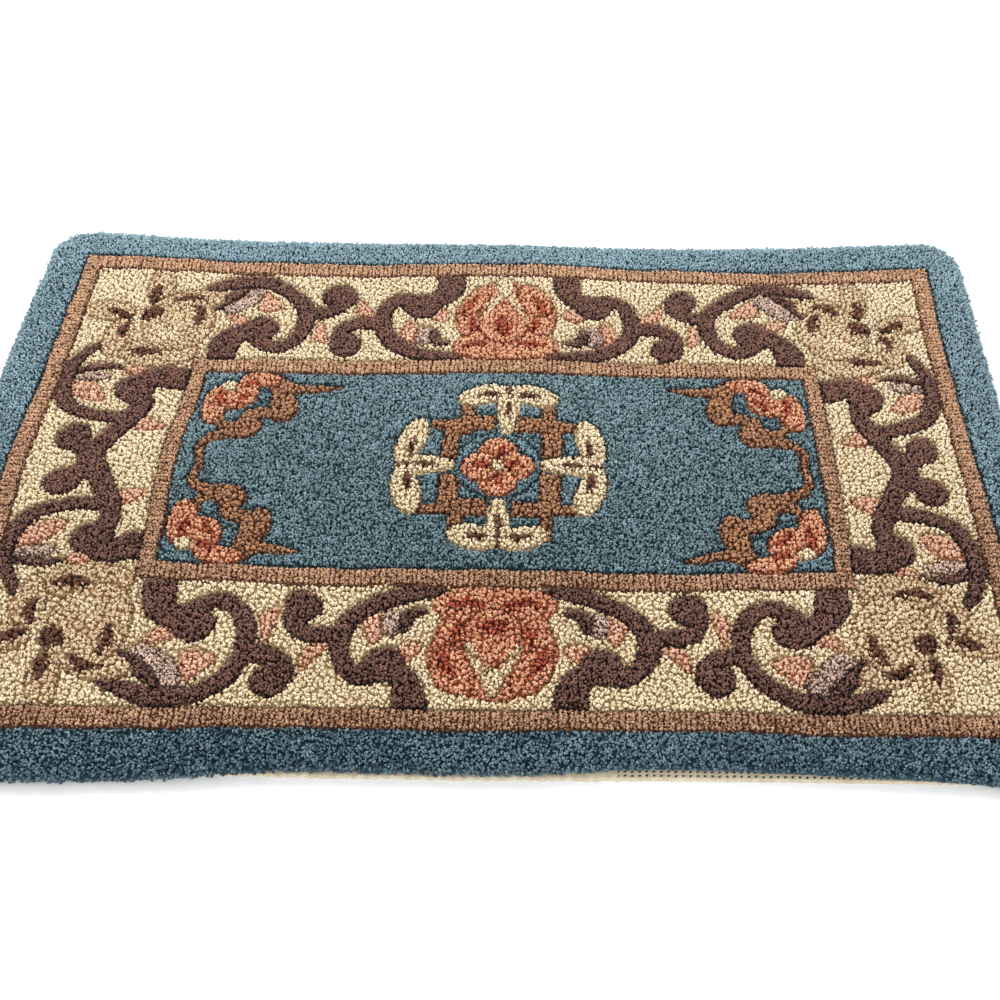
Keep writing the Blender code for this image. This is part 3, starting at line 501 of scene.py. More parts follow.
def motif_stray(plan):
    """How far the motifs have strayed at each plan point of the ideal drawing."""
    spots = np.abs(plan)
    found = np.zeros_like(plan)
    for quarter, rows in MOTIF_STRAY.items():
        back = (plan[:, 1] > 0) == quarter.startswith("back")
        right = (plan[:, 0] > 0) == quarter.endswith("right")
        held = np.flatnonzero(back & right)
        total = np.full(len(held), STRAY_HOLD)
        moved = np.zeros((len(held), 2))
        for x, y, dx, dy in rows:
            gap = (spots[held] - (x, y)) / STRAY_REACH
            weight = np.exp(-0.5 * (gap**2).sum(axis=1))
            total += weight
            moved += weight[:, None] * (dx, dy)
        found[held] = moved / total[:, None] * np.sign(plan[held])
    # the strays fade out at the rug's two middle lines, where its quarters meet
    return found * np.clip(spots / STRAY_FADE, 0, 1)


def draw(plan, ragged=None):
    """Paints the whole pattern at plan points of the ideal drawing."""
    worked = plan.copy()
    for _ in range(3):
        worked = plan - motif_stray(worked)
    drawing = Drawing(worked, np.zeros(len(plan)) if ragged is None else ragged)
    drawing.lay("cream", box_distance(plan, OUTER_BAND_INNER))
    scroll_by_corner(drawing)
    scroll_by_middle(drawing)
    side_scroll(drawing)
    peony(drawing)
    corner_flower(drawing)
    drawing.lay("field_blue", box_distance(plan, INNER_BAND_INNER))
    field_bracket(drawing)
    drawing.spots = plan
    medallion(drawing)
    bands(drawing, plan)
    return drawing


# Heights over the floor, the pile's rounded rim and the soft lumps of its top
ROOT_HEIGHT = 3.3
RIM_WIDEST_HEIGHT = 4.0
PILE_HEIGHT = 12.0
RIM_ROUNDING = 11.0
RIM_ROOT_INSET = 4.5
LUMP_HEIGHT = 0.5
LUMP_LENGTH = 95.0

# The mat under the tufts
MAT_STEP = 4.0
MAT_DROP = 2.6
MAT_RIM_ROWS = (0.0, 0.5, 1.6, 3.2, 5.4, 8.0, 11.0)
GROOVE_DEPTH = 3.4
GROOVE_HALF_WIDTH = 2.4

# Tufts
RIM_TUFTS = 18000
LOWEST_FIBRE = 0.3
TUFT_STEP = 1.69
TUFT_RADIUS = 1.0
TUFT_SUNK = 5.0
TUFT_JITTER = 0.45
LEAST_INSET = 1.5
RIM_LEAN = 3.2
TUFT_PROUD = 0.7
RIB_STEP = 4.2
RIB_LENGTH = 12.0
RIB_STRAY = 0.5

# How each kind of yarn gathers: clump size, pull of the tips to the clump's middle, height of
# the clump's crown, depth of the painted shade in its cracks, sideways straying of the tips,
# share of spikes
GATHERING = {
    "loose": (5.2, 0.15, 0.5, 0.14, 0.9, 0.3),
    "knobbly": (4.3, 0.5, 1.3, 0.34, 0.5, 0.12),
    "ribbed": (4.2, 0.4, 0.9, 0.36, 0.4, 0.16),
}
LOOSE_YARNS = [YARN[name] for name in ("border_blue", "field_blue", "plum", "lilac")]
CLUMP_STRAY = 0.92

# A tuft's shade: the middle one, and how far it spreads over clumps, over the small locks in
# them and from tuft to tuft, with the lengths of the softer patches
BASE_SHADE = 0.55
CLUMP_SPREAD = 0.2
PATCH_LENGTHS = (4.5, 2.0)
# Broad patches of painted light and shade from the brushed nap
BROAD_NAP_SHADE_LENGTH = 60.0
SHADE_SPREAD = 0.12
LOCK_SPREAD = 0.28
# Painted shade in the cracks between the small locks, then the locks' steps
LOCK_CRACK_SHADE = 0.17
LOCK_STEPS = (2.5, 3.6)
BRIGHT_SHARE = 0.03
BRIGHT_LIFT = 0.25
# Painted shade that darkens each tuft from its tip down to its root
ROOT_SHADE_DROP = 0.55
BLUNT_RADIUS = 1.28
BLUNT_TILT = 0.13

# Where a yarn's deep colour stands between its crack colour and its tip colour, how much darker
# the painted shade makes the cracks, and the half width of the darkest painted shade, in the
# grooves along the bands
DEEP_PLACE = 0.25
CRACK_LIGHT = 0.3
LINE_HALF_WIDTH = 1.1

# How the long pile of the front border leans out over the hem
FRONT_LEAN = 3.0
FRONT_SPIKE_SHARE = 0.3
# The stretch of the hem that the fringe leaves bare: its two ends and the length of each easing
HEM_BARE = (95.0, 350.0)
HEM_EASE = 45.0
SPIKE_RISE = 0.7
RAGGED = 0.8
# Painted shade that darkens the front border's strip, where its pile curves down
FRONT_BORDER_PAINTED_SHADE = 0.1

# The tufts round the rim: the lowest and highest angle that they lean at, the steps and length
# of the outline that they stand on, and the size of their locks
RIM_LIFT = (-55, 62)
OUTLINE_STEPS = 40000
RIM_LENGTH = 2950.0
RIM_LOCK = (6.5, 7.0)
# and their least length with what their lock and chance add, their pull to the lock's middle,
# their straying, radius and share of spikes
RIM_TUFT_LENGTHS = (0.6, 1.5, 0.7)
RIM_PULL = 0.35
RIM_STRAY = 0.7
RIM_TUFT_RADIUS = 1.1
RIM_SPIKE_SHARE = 0.45

def ideal_outline(count):
    """The rounded outline in the ideal drawing, anticlockwise, at even distances."""
    x = HALF_LENGTH - CORNER_RADIUS
    y = HALF_WIDTH - CORNER_RADIUS
    quarter = math.pi / 2 * CORNER_RADIUS
    lengths = np.cumsum([0, 2 * y, quarter, 2 * x, quarter, 2 * y, quarter, 2 * x, quarter])
    place = np.arange(count) / count * lengths[-1]
    points = np.zeros((count, 2))
    normals = np.zeros((count, 2))
    starts = ((HALF_LENGTH, -y), (x, y), (x, HALF_WIDTH), (-x, y), (-HALF_LENGTH, y),
              (-x, -y), (-x, -HALF_WIDTH), (x, -y))
    for i, start in enumerate(starts):
        here = (place >= lengths[i]) & (place < lengths[i + 1])
        run = place[here] - lengths[i]
        turn = math.pi / 2 * (i // 2)
        if i % 2 == 0:
            way = np.array([-math.sin(turn), math.cos(turn)])
            points[here] = np.array(start) + run[:, None] * way
            normals[here] = (math.cos(turn), math.sin(turn))
        else:
            angle = turn + run / CORNER_RADIUS
            normals[here] = np.stack([np.cos(angle), np.sin(angle)], 1)
            points[here] = np.array(start) + CORNER_RADIUS * normals[here]
    return points, normals


SHIFT = -(wander(ideal_outline(4000)[0]).max(axis=0) + wander(ideal_outline(4000)[0]).min(axis=0)) / 2


def rug_plan(ideal):
    """Ideal plan points, moved to their places on the rug."""
    return wander(ideal) + SHIFT


def rim_distance(ideal):
    """How far inside the rug's edge each ideal point is."""
    gap = np.abs(ideal) - (HALF_LENGTH - CORNER_RADIUS, HALF_WIDTH - CORNER_RADIUS)
    outside = np.linalg.norm(np.maximum(gap, 0), axis=1)
    return CORNER_RADIUS - outside - np.minimum(gap.max(axis=1), 0)


def lumps(plan):
    """Soft, low lumps of the pile's top."""
    x = plan[:, 0] / LUMP_LENGTH
    y = plan[:, 1] / LUMP_LENGTH
    waves = np.sin(3.1 * x + 1.7 * np.sin(2.3 * y)) + np.sin(2.7 * y + 1.3 * np.sin(1.9 * x + 0.8))
    return 0.5 * LUMP_HEIGHT * waves


def pile_top(ideal, plan):
    """Height of the pile's unshorn top."""
    share = np.clip(rim_distance(ideal) / RIM_ROUNDING, 0, 1)
    rise = (PILE_HEIGHT - RIM_WIDEST_HEIGHT) * np.sqrt(1 - (1 - share) ** 2)
    return ROOT_HEIGHT + RIM_WIDEST_HEIGHT + rise + share * lumps(plan)


def hashed(i, j, salt):
    """A fixed number from 0 to 1 for each whole-number pair."""
    value = np.sin(i * 127.1 + j * 311.7 + salt * 74.7) * 43758.5453
    return value - np.floor(value)


def clumps(local, step_x, step_y, uneven=CLUMP_STRAY):
    """Each point's clump: the way to its middle, its closeness to the clump's edge and its key."""
    scaled = local / (step_x, step_y)
    base = np.floor(scaled)
    best = np.full(len(local), np.inf)
    second = np.full(len(local), np.inf)
    way = np.zeros_like(local)
    key = np.zeros(len(local))
    for di in (-1, 0, 1):
        for dj in (-1, 0, 1):
            i = base[:, 0] + di
            j = base[:, 1] + dj
            middle = np.stack([i + 0.5 + uneven * (hashed(i, j, 1) - 0.5),
                               j + 0.5 + uneven * (hashed(i, j, 2) - 0.5)], 1)
            gap = np.linalg.norm(middle - scaled, axis=1)
            nearer = gap < best
            second = np.where(nearer, best, np.minimum(second, gap))
            best = np.where(nearer, gap, best)
            way = np.where(nearer[:, None], (middle - scaled) * (step_x, step_y), way)
            key = np.where(nearer, hashed(i, j, 3), key)
    return way, np.clip((second - best) / 0.45, 0, 1), key


def clumps_of(ideal, yarn):
    """Clumps of tufts and how they gather: ribs across the bands, and round ones elsewhere."""
    loose = np.isin(yarn, LOOSE_YARNS)
    band = yarn == YARN["band_brown"]
    gathering = np.array(list(GATHERING.values()))[np.where(loose, 0, np.where(band, 2, 1))]
    way = np.zeros_like(ideal)
    margin = np.zeros(len(ideal))
    key = np.zeros(len(ideal))
    outer = (np.abs(ideal) > np.array(INNER_BAND_OUTER) + 1).any(axis=1)
    past = np.abs(ideal) - np.where(outer[:, None], OUTER_BAND_OUTER, INNER_BAND_OUTER)
    upright = past[:, 0] > past[:, 1]
    loose_step = GATHERING["loose"][0]
    knob_step = GATHERING["knobbly"][0]
    for held, steps, pull in (
        (loose, (loose_step, 1.5 * loose_step), (1, 1)),
        (~loose & ~band, (knob_step, knob_step), (1, 1)),
        (band & ~upright, (RIB_STEP, RIB_LENGTH, RIB_STRAY), (1, 0)),
        (band & upright, (RIB_LENGTH, RIB_STEP, RIB_STRAY), (0, 1)),
    ):
        if held.any():
            way[held], margin[held], key[held] = clumps(ideal[held], *steps)
            way[held] *= pull
    return way, margin, key, gathering


def band_edge_shade(ideal):
    """How much painted shade each point takes along the bands' edges: 1 on an edge, 0 off the shorn line."""
    sizes = (OUTER_BAND_OUTER, OUTER_BAND_INNER, INNER_BAND_OUTER, INNER_BAND_INNER)
    gap = np.min([np.abs(box_distance(ideal, size)) for size in sizes], axis=0)
    return np.clip((LINE_HALF_WIDTH + 0.4 - gap) / 0.8, 0, 1)


def add_object(name, data):
    """A new object in the scene."""
    made = bpy.data.objects.new(name, data)
    bpy.context.scene.collection.objects.link(made)
    return made


def mesh_object(name, points, faces, material):
    """A smooth mesh from points in millimetres and faces with the same number of corners each."""
    mesh = bpy.data.meshes.new(name)
    corners = faces.shape[1]
    mesh.vertices.add(len(points))
    mesh.vertices.foreach_set("co", (points * MM).astype(np.float32).ravel())
    mesh.loops.add(faces.size)
    mesh.loops.foreach_set("vertex_index", faces.astype(np.int32).ravel())
    mesh.polygons.add(len(faces))
    mesh.polygons.foreach_set("loop_start", np.arange(0, faces.size, corners, dtype=np.int32))
    mesh.update(calc_edges=True)
    mesh.validate()
    mesh.polygons.foreach_set("use_smooth", np.ones(len(mesh.polygons), bool))
    mesh.materials.append(material)
    return add_object(name, mesh)


def plan_uv(made):
    """A map that looks straight down on the rug, for finishes that are worked out in plan."""
    mesh = made.data
    points = np.empty(len(mesh.vertices) * 3, np.float32)
    mesh.vertices.foreach_get("co", points)
    points = points.reshape(-1, 3)
    corner = np.empty(len(mesh.loops), np.int32)
    mesh.loops.foreach_get("vertex_index", corner)
    low = np.array(cad_low)[:2] - 0.01
    size = (np.array(cad_high)[:2] + 0.01 - low).max()
    uv = mesh.uv_layers.new(name="OFBake")
    uv.data.foreach_set("uv", ((points[corner][:, :2] - low) / size).astype(np.float32).ravel())


def set_shade(made, shade):
    """Keeps a number for each corner point, which the finish reads."""
    layer = made.data.attributes.new("shade", "FLOAT", "POINT")
    layer.data.foreach_set("value", shade.astype(np.float32))


def linear(screen):
    """Screen values from 0 to 255 as the linear colour that the renderer takes."""
    value = np.asarray(screen, float) / 255
    return tuple(np.where(value <= 0.04045, value / 12.92, ((value + 0.055) / 1.055) ** 2.4))


def new_material(name, **finish):
    """A new material, its node tree and its shader, which has the given finish."""
    material = bpy.data.materials.new(name)
    material.use_nodes = True
    shader = material.node_tree.nodes["Principled BSDF"]
    set_inputs(shader, finish)
    return material, material.node_tree, shader


def set_inputs(node, values):
    """Sets a node's inputs by name, with an underscore for each space."""
    for name, value in values.items():
        node.inputs[name.replace("_", " ")].default_value = value


def add_node(tree, kind, **values):
    """A new node of one kind with the given inputs."""
    node = tree.nodes.new("ShaderNode" + kind)
    set_inputs(node, values)
    return node


def wire(source, output, target, socket):
    """Joins a node's output to an input of another node."""
    source.id_data.links.new(source.outputs[output], target.inputs[socket])


def texture(tree, kind, **values):
    """A texture that lies in the piece's own space."""
    node = add_node(tree, kind, **values)
    wire(add_node(tree, "TexCoord"), "Object", node, "Vector")
    return node


def attribute(tree, name):
    """A node that reads what the mesh keeps under a name."""
    node = add_node(tree, "Attribute")
    node.attribute_name = name
    return node


def wool_material(yarn):
    """Matt wool that runs from its deep colour to its tip colour, with a mottle and a soft sheen."""
    material, tree, shader = new_material(
        "wool_" + yarn, Roughness=0.92, Specular_IOR_Level=0.15, Sheen_Weight=0.12, Sheen_Roughness=0.6
    )
    deep = linear(DEEP[YARN[yarn]])
    tip = linear(TIP[YARN[yarn]])
    mottle = texture(tree, "TexNoise", Scale=90.0, Detail=6.0, Roughness=0.7)
    spread = add_node(tree, "MapRange", From_Min=0.3, From_Max=0.7, To_Min=-0.07, To_Max=0.07)
    level = add_node(tree, "Math")
    level.operation = "ADD"
    level.use_clamp = True
    # The ramp runs from the cracks' painted shade through the deep colour to the tip colour
    ramp = add_node(tree, "ValToRGB")
    stops = ramp.color_ramp.elements
    stops[0].color = (*(CRACK_LIGHT * channel for channel in deep), 1.0)
    stops[1].color = (*tip, 1.0)
    stops.new(DEEP_PLACE).color = (*deep, 1.0)
    wire(mottle, "Fac", spread, "Value")
    wire(spread, "Result", level, 0)
    wire(attribute(tree, "shade"), "Fac", level, 1)
    wire(level, "Value", ramp, "Fac")
    wire(ramp, "Color", shader, "Base Color")
    return material


WOOL = {yarn: wool_material(yarn) for yarn in YARNS}


def hand_waver(ideal):
    """The small unsteadiness of a hand-drawn line, in millimetres."""
    x, y = ideal[:, 0] / 23.0, ideal[:, 1] / 21.0
    dx = np.sin(x + 2.1 * np.sin(y * 0.9 + 1.0)) + 0.6 * np.sin(2.3 * y + 1.1 * np.sin(1.7 * x))
    dy = np.sin(y + 1.9 * np.sin(x * 1.1 + 2.0)) + 0.6 * np.sin(2.1 * x + 1.3 * np.sin(1.9 * y + 3.0))
    return 0.6 * np.stack([dx, dy], 1)


def ring_inwards(ideal):
    """The direction into the rug from its nearest edge, at points near that edge."""
    gap = np.abs(ideal) - (HALF_LENGTH - CORNER_RADIUS, HALF_WIDTH - CORNER_RADIUS)
    way = np.maximum(gap, 0) * np.sign(ideal)
    return -way / np.maximum(np.linalg.norm(way, axis=1), 1e-6)[:, None]


def side_reach(columns, half_x, half_y, radius):
    """How far a rounded rectangle reaches towards its long sides at each column."""
    in_corner = np.maximum(np.abs(columns) - (half_x - radius), 0)
    return half_y - radius + np.sqrt(np.maximum(radius**2 - in_corner**2, 0))


def grid_faces(m, n):
    """The faces of a grid of points, and the points round its edge in order."""
    index = np.arange(m * n).reshape(m, n)
    quads = np.stack([index[:-1, :-1], index[1:, :-1], index[1:, 1:], index[:-1, 1:]], 2).reshape(-1, 4)
    loop = np.concatenate([index[:, 0], index[-1, 1:], index[-2::-1, -1], index[0, -2:0:-1]])
    return quads, loop


def wall_faces(upper, lower):
    """The faces between two rings of points."""
    return np.stack([lower, np.roll(lower, -1), np.roll(upper, -1), upper], 1)


def as_triangles(quads):
    """Each face with four corners, cut in two."""
    return np.vstack([quads[:, [0, 1, 2]], quads[:, [0, 2, 3]]])


def make_mat():
    """The mat: a closed slab whose top follows the pile, its yarns and the shorn grooves."""
    columns = mat_axis(HALF_LENGTH)
    rows = mat_axis(HALF_WIDTH) / HALF_WIDTH
    reach = side_reach(columns, HALF_LENGTH, HALF_WIDTH, CORNER_RADIUS)
    ideal = np.stack([np.repeat(columns, len(rows)), (reach[:, None] * rows).ravel()], 1)
    plan = rug_plan(ideal)
    drawing = draw(ideal + hand_waver(ideal))
    _, margin, _, _ = clumps_of(ideal, drawing.yarn)
    shorn = np.clip(1 - drawing.edge / GROOVE_HALF_WIDTH, 0, 1)
    inside = np.clip(rim_distance(ideal) / 4, 0, 1)
    height = pile_top(ideal, plan) - inside * (MAT_DROP + GROOVE_DEPTH * shorn)
    quads, loop = grid_faces(len(columns), len(rows))
    points = [np.column_stack([plan, height])]
    faces = [as_triangles(quads)]
    total = len(ideal)
    upper = loop
    inwards = ring_inwards(ideal[loop])
    half_way = (0.3 * RIM_ROOT_INSET, ROOT_HEIGHT + 0.5 * RIM_WIDEST_HEIGHT)
    for inset, z in (half_way, (RIM_ROOT_INSET, ROOT_HEIGHT)):
        ring = rug_plan(ideal[loop] + inset * inwards)
        points.append(np.column_stack([ring, np.full(len(ring), z)]))
        lower = total + np.arange(len(loop))
        total += len(loop)
        faces.append(as_triangles(wall_faces(upper, lower)))
        upper = lower
    points.append([[0.0, 0.0, ROOT_HEIGHT]])
    faces.append(np.stack([np.roll(upper, -1), upper, np.full(len(upper), total)], 1))
    made = mesh_object("pile_mat", np.vstack(points), np.vstack(faces), mat_material())
    deep = np.array(linear(DEEP))
    # The mat's colour: its yarn's deep colour with painted shade, darker in the cracks between clumps and
    # darkest in the shorn grooves
    dye_and_shade = deep[drawing.yarn] * ((0.7 + 0.3 * margin) * (1 - 0.6 * shorn))[:, None]
    dye_and_shade = np.vstack([dye_and_shade, np.tile(deep[YARN["border_blue"]], (total + 1 - len(dye_and_shade), 1))])
    layer = made.data.attributes.new("dye_and_shade", "FLOAT_COLOR", "POINT")
    layer.data.foreach_set("color", np.column_stack([dye_and_shade, np.ones(len(dye_and_shade))]).astype(np.float32).ravel())
    plan_uv(made)
    return made


def mat_axis(half):
    """Positions across the rug, close together at its rim."""
    rim = [half - inset for inset in MAT_RIM_ROWS]
    inner = half - MAT_RIM_ROWS[-1]
    count = round(2 * inner / MAT_STEP)
    middle = np.linspace(-inner, inner, count + 1)[1:-1]
    return np.array([-r for r in rim] + list(middle) + rim[::-1])


def mat_material():
    """The wool deep between the tufts, coloured by the yarn that stands there and its painted shade."""
    material, tree, shader = new_material("wool_mat", Roughness=0.95, Specular_IOR_Level=0.1)
    fuzz = texture(tree, "TexNoise", Scale=420.0, Detail=3.0)
    spread = add_node(tree, "MapRange", To_Min=0.6, To_Max=1.4)
    scaled = add_node(tree, "VectorMath")
    scaled.operation = "SCALE"
    bump = add_node(tree, "Bump", Distance=0.001, Strength=0.8)
    wire(fuzz, "Fac", spread, "Value")
    wire(fuzz, "Fac", bump, "Height")
    wire(bump, "Normal", shader, "Normal")
    wire(attribute(tree, "dye_and_shade"), "Color", scaled, 0)
    wire(spread, "Result", scaled, "Scale")
    wire(scaled, "Vector", shader, "Base Color")
    return material


def tuft_mesh(name, yarn, root, tip, radius, turn, blunt, tilt, shade):
    """Many tufts in one mesh, each closed by four triangles: a blunt, cut end or a fine spike."""
    axis = tip - root
    axis = axis / np.linalg.norm(axis, axis=1)[:, None]
    across = np.cross(axis, np.array([0.0, 1.0, 0.3]))
    across = across / np.linalg.norm(across, axis=1)[:, None]
    other = np.cross(axis, across)
    count = len(root)
    points = np.empty((count, 4, 3))
    shades = np.empty((count, 4))
    middle = np.where(blunt[:, None], tip, root)
    reach = np.where(blunt, BLUNT_RADIUS / TUFT_RADIUS, 1.0) * radius
    for corner in range(3):
        angle = turn + corner * 2 * math.pi / 3
        ring = np.cos(angle)[:, None] * across + np.sin(angle)[:, None] * other
        points[:, corner] = middle + reach[:, None] * ring + (blunt * tilt[:, corner])[:, None] * axis
        # Painted shade darkens each tuft towards its root
        shades[:, corner] = np.where(blunt, shade, shade - ROOT_SHADE_DROP)
    points[:, 3] = np.where(blunt[:, None], root, tip)
    points[:, :, 2] = np.maximum(points[:, :, 2], LOWEST_FIBRE)
    shades[:, 3] = np.where(blunt, shade - ROOT_SHADE_DROP, shade)
    spike_corners = np.array([[0, 1, 3], [1, 2, 3], [2, 0, 3], [0, 2, 1]])
    blunt_corners = np.array([[1, 0, 3], [2, 1, 3], [0, 2, 3], [0, 1, 2]])
    corners = np.where(blunt[:, None, None], blunt_corners, spike_corners)
    faces = (4 * np.arange(count)[:, None, None] + corners).reshape(-1, 3)
    made = mesh_object(name, points.reshape(-1, 3), faces, WOOL[yarn])
    set_shade(made, DEEP_PLACE + (1 - DEEP_PLACE) * shades.ravel())
    plan_uv(made)
    return made


def waves(plan, length, lean=0.0):
    """Soft, uneven waves from -1 to 1 over the plan."""
    x, y = plan[:, 0] / length, plan[:, 1] / length
    return (np.sin(x + 1.9 * np.sin(0.8 * y + lean)) + np.sin(1.3 * y + 1.7 * np.sin(0.9 * x + 1.0 + lean))
            + 0.6 * np.sin(2.9 * x + 2.3 * y + lean)) / 2.6


def tuft_shades(plan, yarn, margin, key, crack_shade, shorn, line, chance):
    """How light each tuft's tip is, from 0, its yarn's deep colour, to 1, its tip colour."""
    _, lock_margin, lock_key = clumps(plan, *LOCK_STEPS)
    # Painted shade in the cracks between clumps and between the small locks in them
    shade = CLUMP_SPREAD * (key - 0.5) - crack_shade * (1 - np.sqrt(margin))
    shade += LOCK_SPREAD * (lock_key - 0.5) - LOCK_CRACK_SHADE * (1 - np.sqrt(lock_margin))
    coarse, fine = PATCH_LENGTHS
    shade += VARIEGATION[yarn] * (waves(plan, coarse) + 0.5 * waves(plan, fine, 1.0))
    shade += SHADE_SPREAD * chance.normal(0, 1, len(plan))
    shade += BRIGHT_LIFT * (chance.uniform(0, 1, len(plan)) < BRIGHT_SHARE)
    shade = BASE_SHADE + CONTRAST[yarn] * shade
    # Painted light at the back, painted shade at the front and more on the front border, and broad patches
    # of painted light and shade from the brushed nap
    backwards = plan[:, 1] / HALF_WIDTH
    shade += 0.05 * waves(plan, BROAD_NAP_SHADE_LENGTH) + BACK_PAINTED_LIGHT[yarn] * backwards
    shade -= FRONT_BORDER_PAINTED_SHADE * (yarn == YARN["border_blue"]) * np.clip((-0.8 - backwards) / 0.15, 0, 1)
    # Painted shade darkens the tufts in the shorn grooves, most along the lines at their edges
    return np.clip(shade * (1 - 0.8 * shorn), 0, 1.15) - 0.3 * line


def hem_bare(plan):
    """How bare the hem lies at each point: 1 where no fringe hangs over it, 0 elsewhere."""
    at_front = plan[:, 1] < -HALF_WIDTH + 2 * CORNER_RADIUS
    low = np.clip((plan[:, 0] - HEM_BARE[0]) / HEM_EASE + 1, 0, 1)
    high = np.clip((HEM_BARE[1] - plan[:, 0]) / HEM_EASE + 1, 0, 1)
    return at_front * low * high


def make_top_tufts(chance):
    """Tufts over the whole top, in one piece for each yarn and two for the cream ground."""
    xs = np.arange(-HALF_LENGTH, HALF_LENGTH, TUFT_STEP)
    ys = np.arange(-HALF_WIDTH, HALF_WIDTH, TUFT_STEP)
    x, y = np.meshgrid(xs, ys)
    ideal = np.stack([x.ravel(), y.ravel()], 1)
    ideal += TUFT_STEP * TUFT_JITTER * chance.uniform(-1, 1, ideal.shape)
    inset = rim_distance(ideal)
    kept = inset > LEAST_INSET
    ideal, inset = ideal[kept], inset[kept]
    plan = rug_plan(ideal)
    drawing = draw(ideal + hand_waver(ideal), RAGGED * chance.normal(0, 1, len(ideal)))
    way, margin, key, gathering = clumps_of(ideal, drawing.yarn)
    _, hold, crown, crack_shade, stray, spikes = gathering.T
    shorn = np.clip(1 - drawing.edge / GROOVE_HALF_WIDTH, 0, 1) ** 0.8
    top = pile_top(ideal, plan)
    outwards = -ring_inwards(ideal)
    fall = np.clip(1 - inset / RIM_ROUNDING, 0, 1)
    wild = chance.normal(0, 1, (len(ideal), 3))
    tip = np.column_stack([
        plan + hold[:, None] * way + (RIM_LEAN * fall**1.5)[:, None] * outwards,
        top + TUFT_PROUD + crown * (np.sqrt(margin) - 0.7) - GROOVE_DEPTH * shorn,
    ])
    tip[:, :2] += stray[:, None] * wild[:, :2]
    front = (drawing.yarn == YARN["border_blue"]) & (ideal[:, 1] < -OUTER_BAND_OUTER[1] - 4)
    spikes = np.where(front, FRONT_SPIKE_SHARE, spikes)
    tip[:, 1] -= front * FRONT_LEAN * chance.uniform(0.2, 1, len(ideal)) * (1 - hem_bare(plan))
    blunt = chance.uniform(0, 1, len(ideal)) > spikes
    tip[:, 2] += (0.3 * wild[:, 2] + SPIKE_RISE * ~blunt) * (1 - 0.6 * shorn)
    tilt = BLUNT_TILT * chance.normal(0, 1, (len(ideal), 3))
    root_height = np.maximum(top - TUFT_SUNK - 0.6 * GROOVE_DEPTH * shorn, ROOT_HEIGHT + 0.6)
    root = np.column_stack([plan, root_height])
    # Painted shade along every motif's edge, half as dark as along the bands' edges
    outline_shade = 0.5 * np.clip((1.6 - drawing.edge) / 0.8, 0, 1)
    line = np.maximum(band_edge_shade(ideal), outline_shade)
    shade = tuft_shades(plan, drawing.yarn, margin, key, crack_shade, shorn, line, chance)
    turn = chance.uniform(0, 2 * math.pi, len(ideal))
    radius = TUFT_RADIUS * chance.uniform(0.8, 1.15, len(ideal))
    made = []
    for number, yarn in enumerate(YARNS):
        held = drawing.yarn == number
        parts = {"tufts_" + yarn: held}
        if yarn == "cream":
            left = ideal[:, 0] < 0
            parts = {"tufts_cream_left": held & left, "tufts_cream_right": held & ~left}
        for name, part in parts.items():
            made.append(tuft_mesh(name, yarn, root[part], tip[part], radius[part], turn[part],
                                  blunt[part], tilt[part], shade[part]))
    return made


def make_rim_tufts(chance):
    """Longer tufts that lean out all round the rim, gathered in uneven locks."""
    count = RIM_TUFTS
    place = (np.arange(count) + chance.uniform(0, 1, count)) / count
    order = np.floor(place * OUTLINE_STEPS).astype(int) % OUTLINE_STEPS
    edge_points, edge_normals = ideal_outline(OUTLINE_STEPS)
    base = edge_points[order]
    outwards = edge_normals[order]
    run = place * RIM_LENGTH
    lift = np.radians(chance.uniform(*RIM_LIFT, count))
    rounding = np.where(lift > 0, RIM_ROUNDING, RIM_ROOT_INSET)
    inset = rounding * (1 - np.cos(lift))
    rise = np.where(lift > 0, PILE_HEIGHT - RIM_WIDEST_HEIGHT, RIM_WIDEST_HEIGHT) * np.sin(lift)
    ideal = base - inset[:, None] * outwards
    plan = rug_plan(ideal)
    skin = np.column_stack([plan, ROOT_HEIGHT + RIM_WIDEST_HEIGHT + rise])
    normal = np.column_stack([outwards * np.cos(lift)[:, None], np.sin(lift)])
    way, margin, key = clumps(np.stack([run, lift * 9.0], 1), *RIM_LOCK)
    tangent = np.column_stack([-outwards[:, 1], outwards[:, 0], np.zeros(count)])
    least, by_lock, by_chance = RIM_TUFT_LENGTHS
    length = least + by_lock * key + by_chance * chance.uniform(0, 1, count)
    bare = hem_bare(plan)
    length = length * (1 - 0.8 * bare)
    wild = RIM_STRAY * chance.normal(0, 1, (count, 3)) * (1 - 0.7 * bare)[:, None]
    tip = skin + normal * length[:, None] + tangent * (RIM_PULL * way[:, :1]) + wild
    tip[:, 2] = np.clip(tip[:, 2], 0.6, ROOT_HEIGHT + PILE_HEIGHT + 0.5)
    root = skin - TUFT_SUNK * normal
    root[:, 2] = np.maximum(root[:, 2], ROOT_HEIGHT + 0.8)
    blue = np.full(count, YARN["border_blue"])
    # Painted shade in the cracks between the rim's locks
    shade = tuft_shades(plan, blue, margin, key, 0.2, np.zeros(count), 0.0, chance)
    radius = RIM_TUFT_RADIUS * chance.uniform(0.75, 1.2, count)
    turn = chance.uniform(0, 2 * math.pi, count)
    blunt = chance.uniform(0, 1, count) > RIM_SPIKE_SHARE
    tilt = BLUNT_TILT * chance.normal(0, 1, (count, 3))
    return tuft_mesh("tufts_rim", "border_blue", root, tip, radius, turn, blunt, tilt, shade)


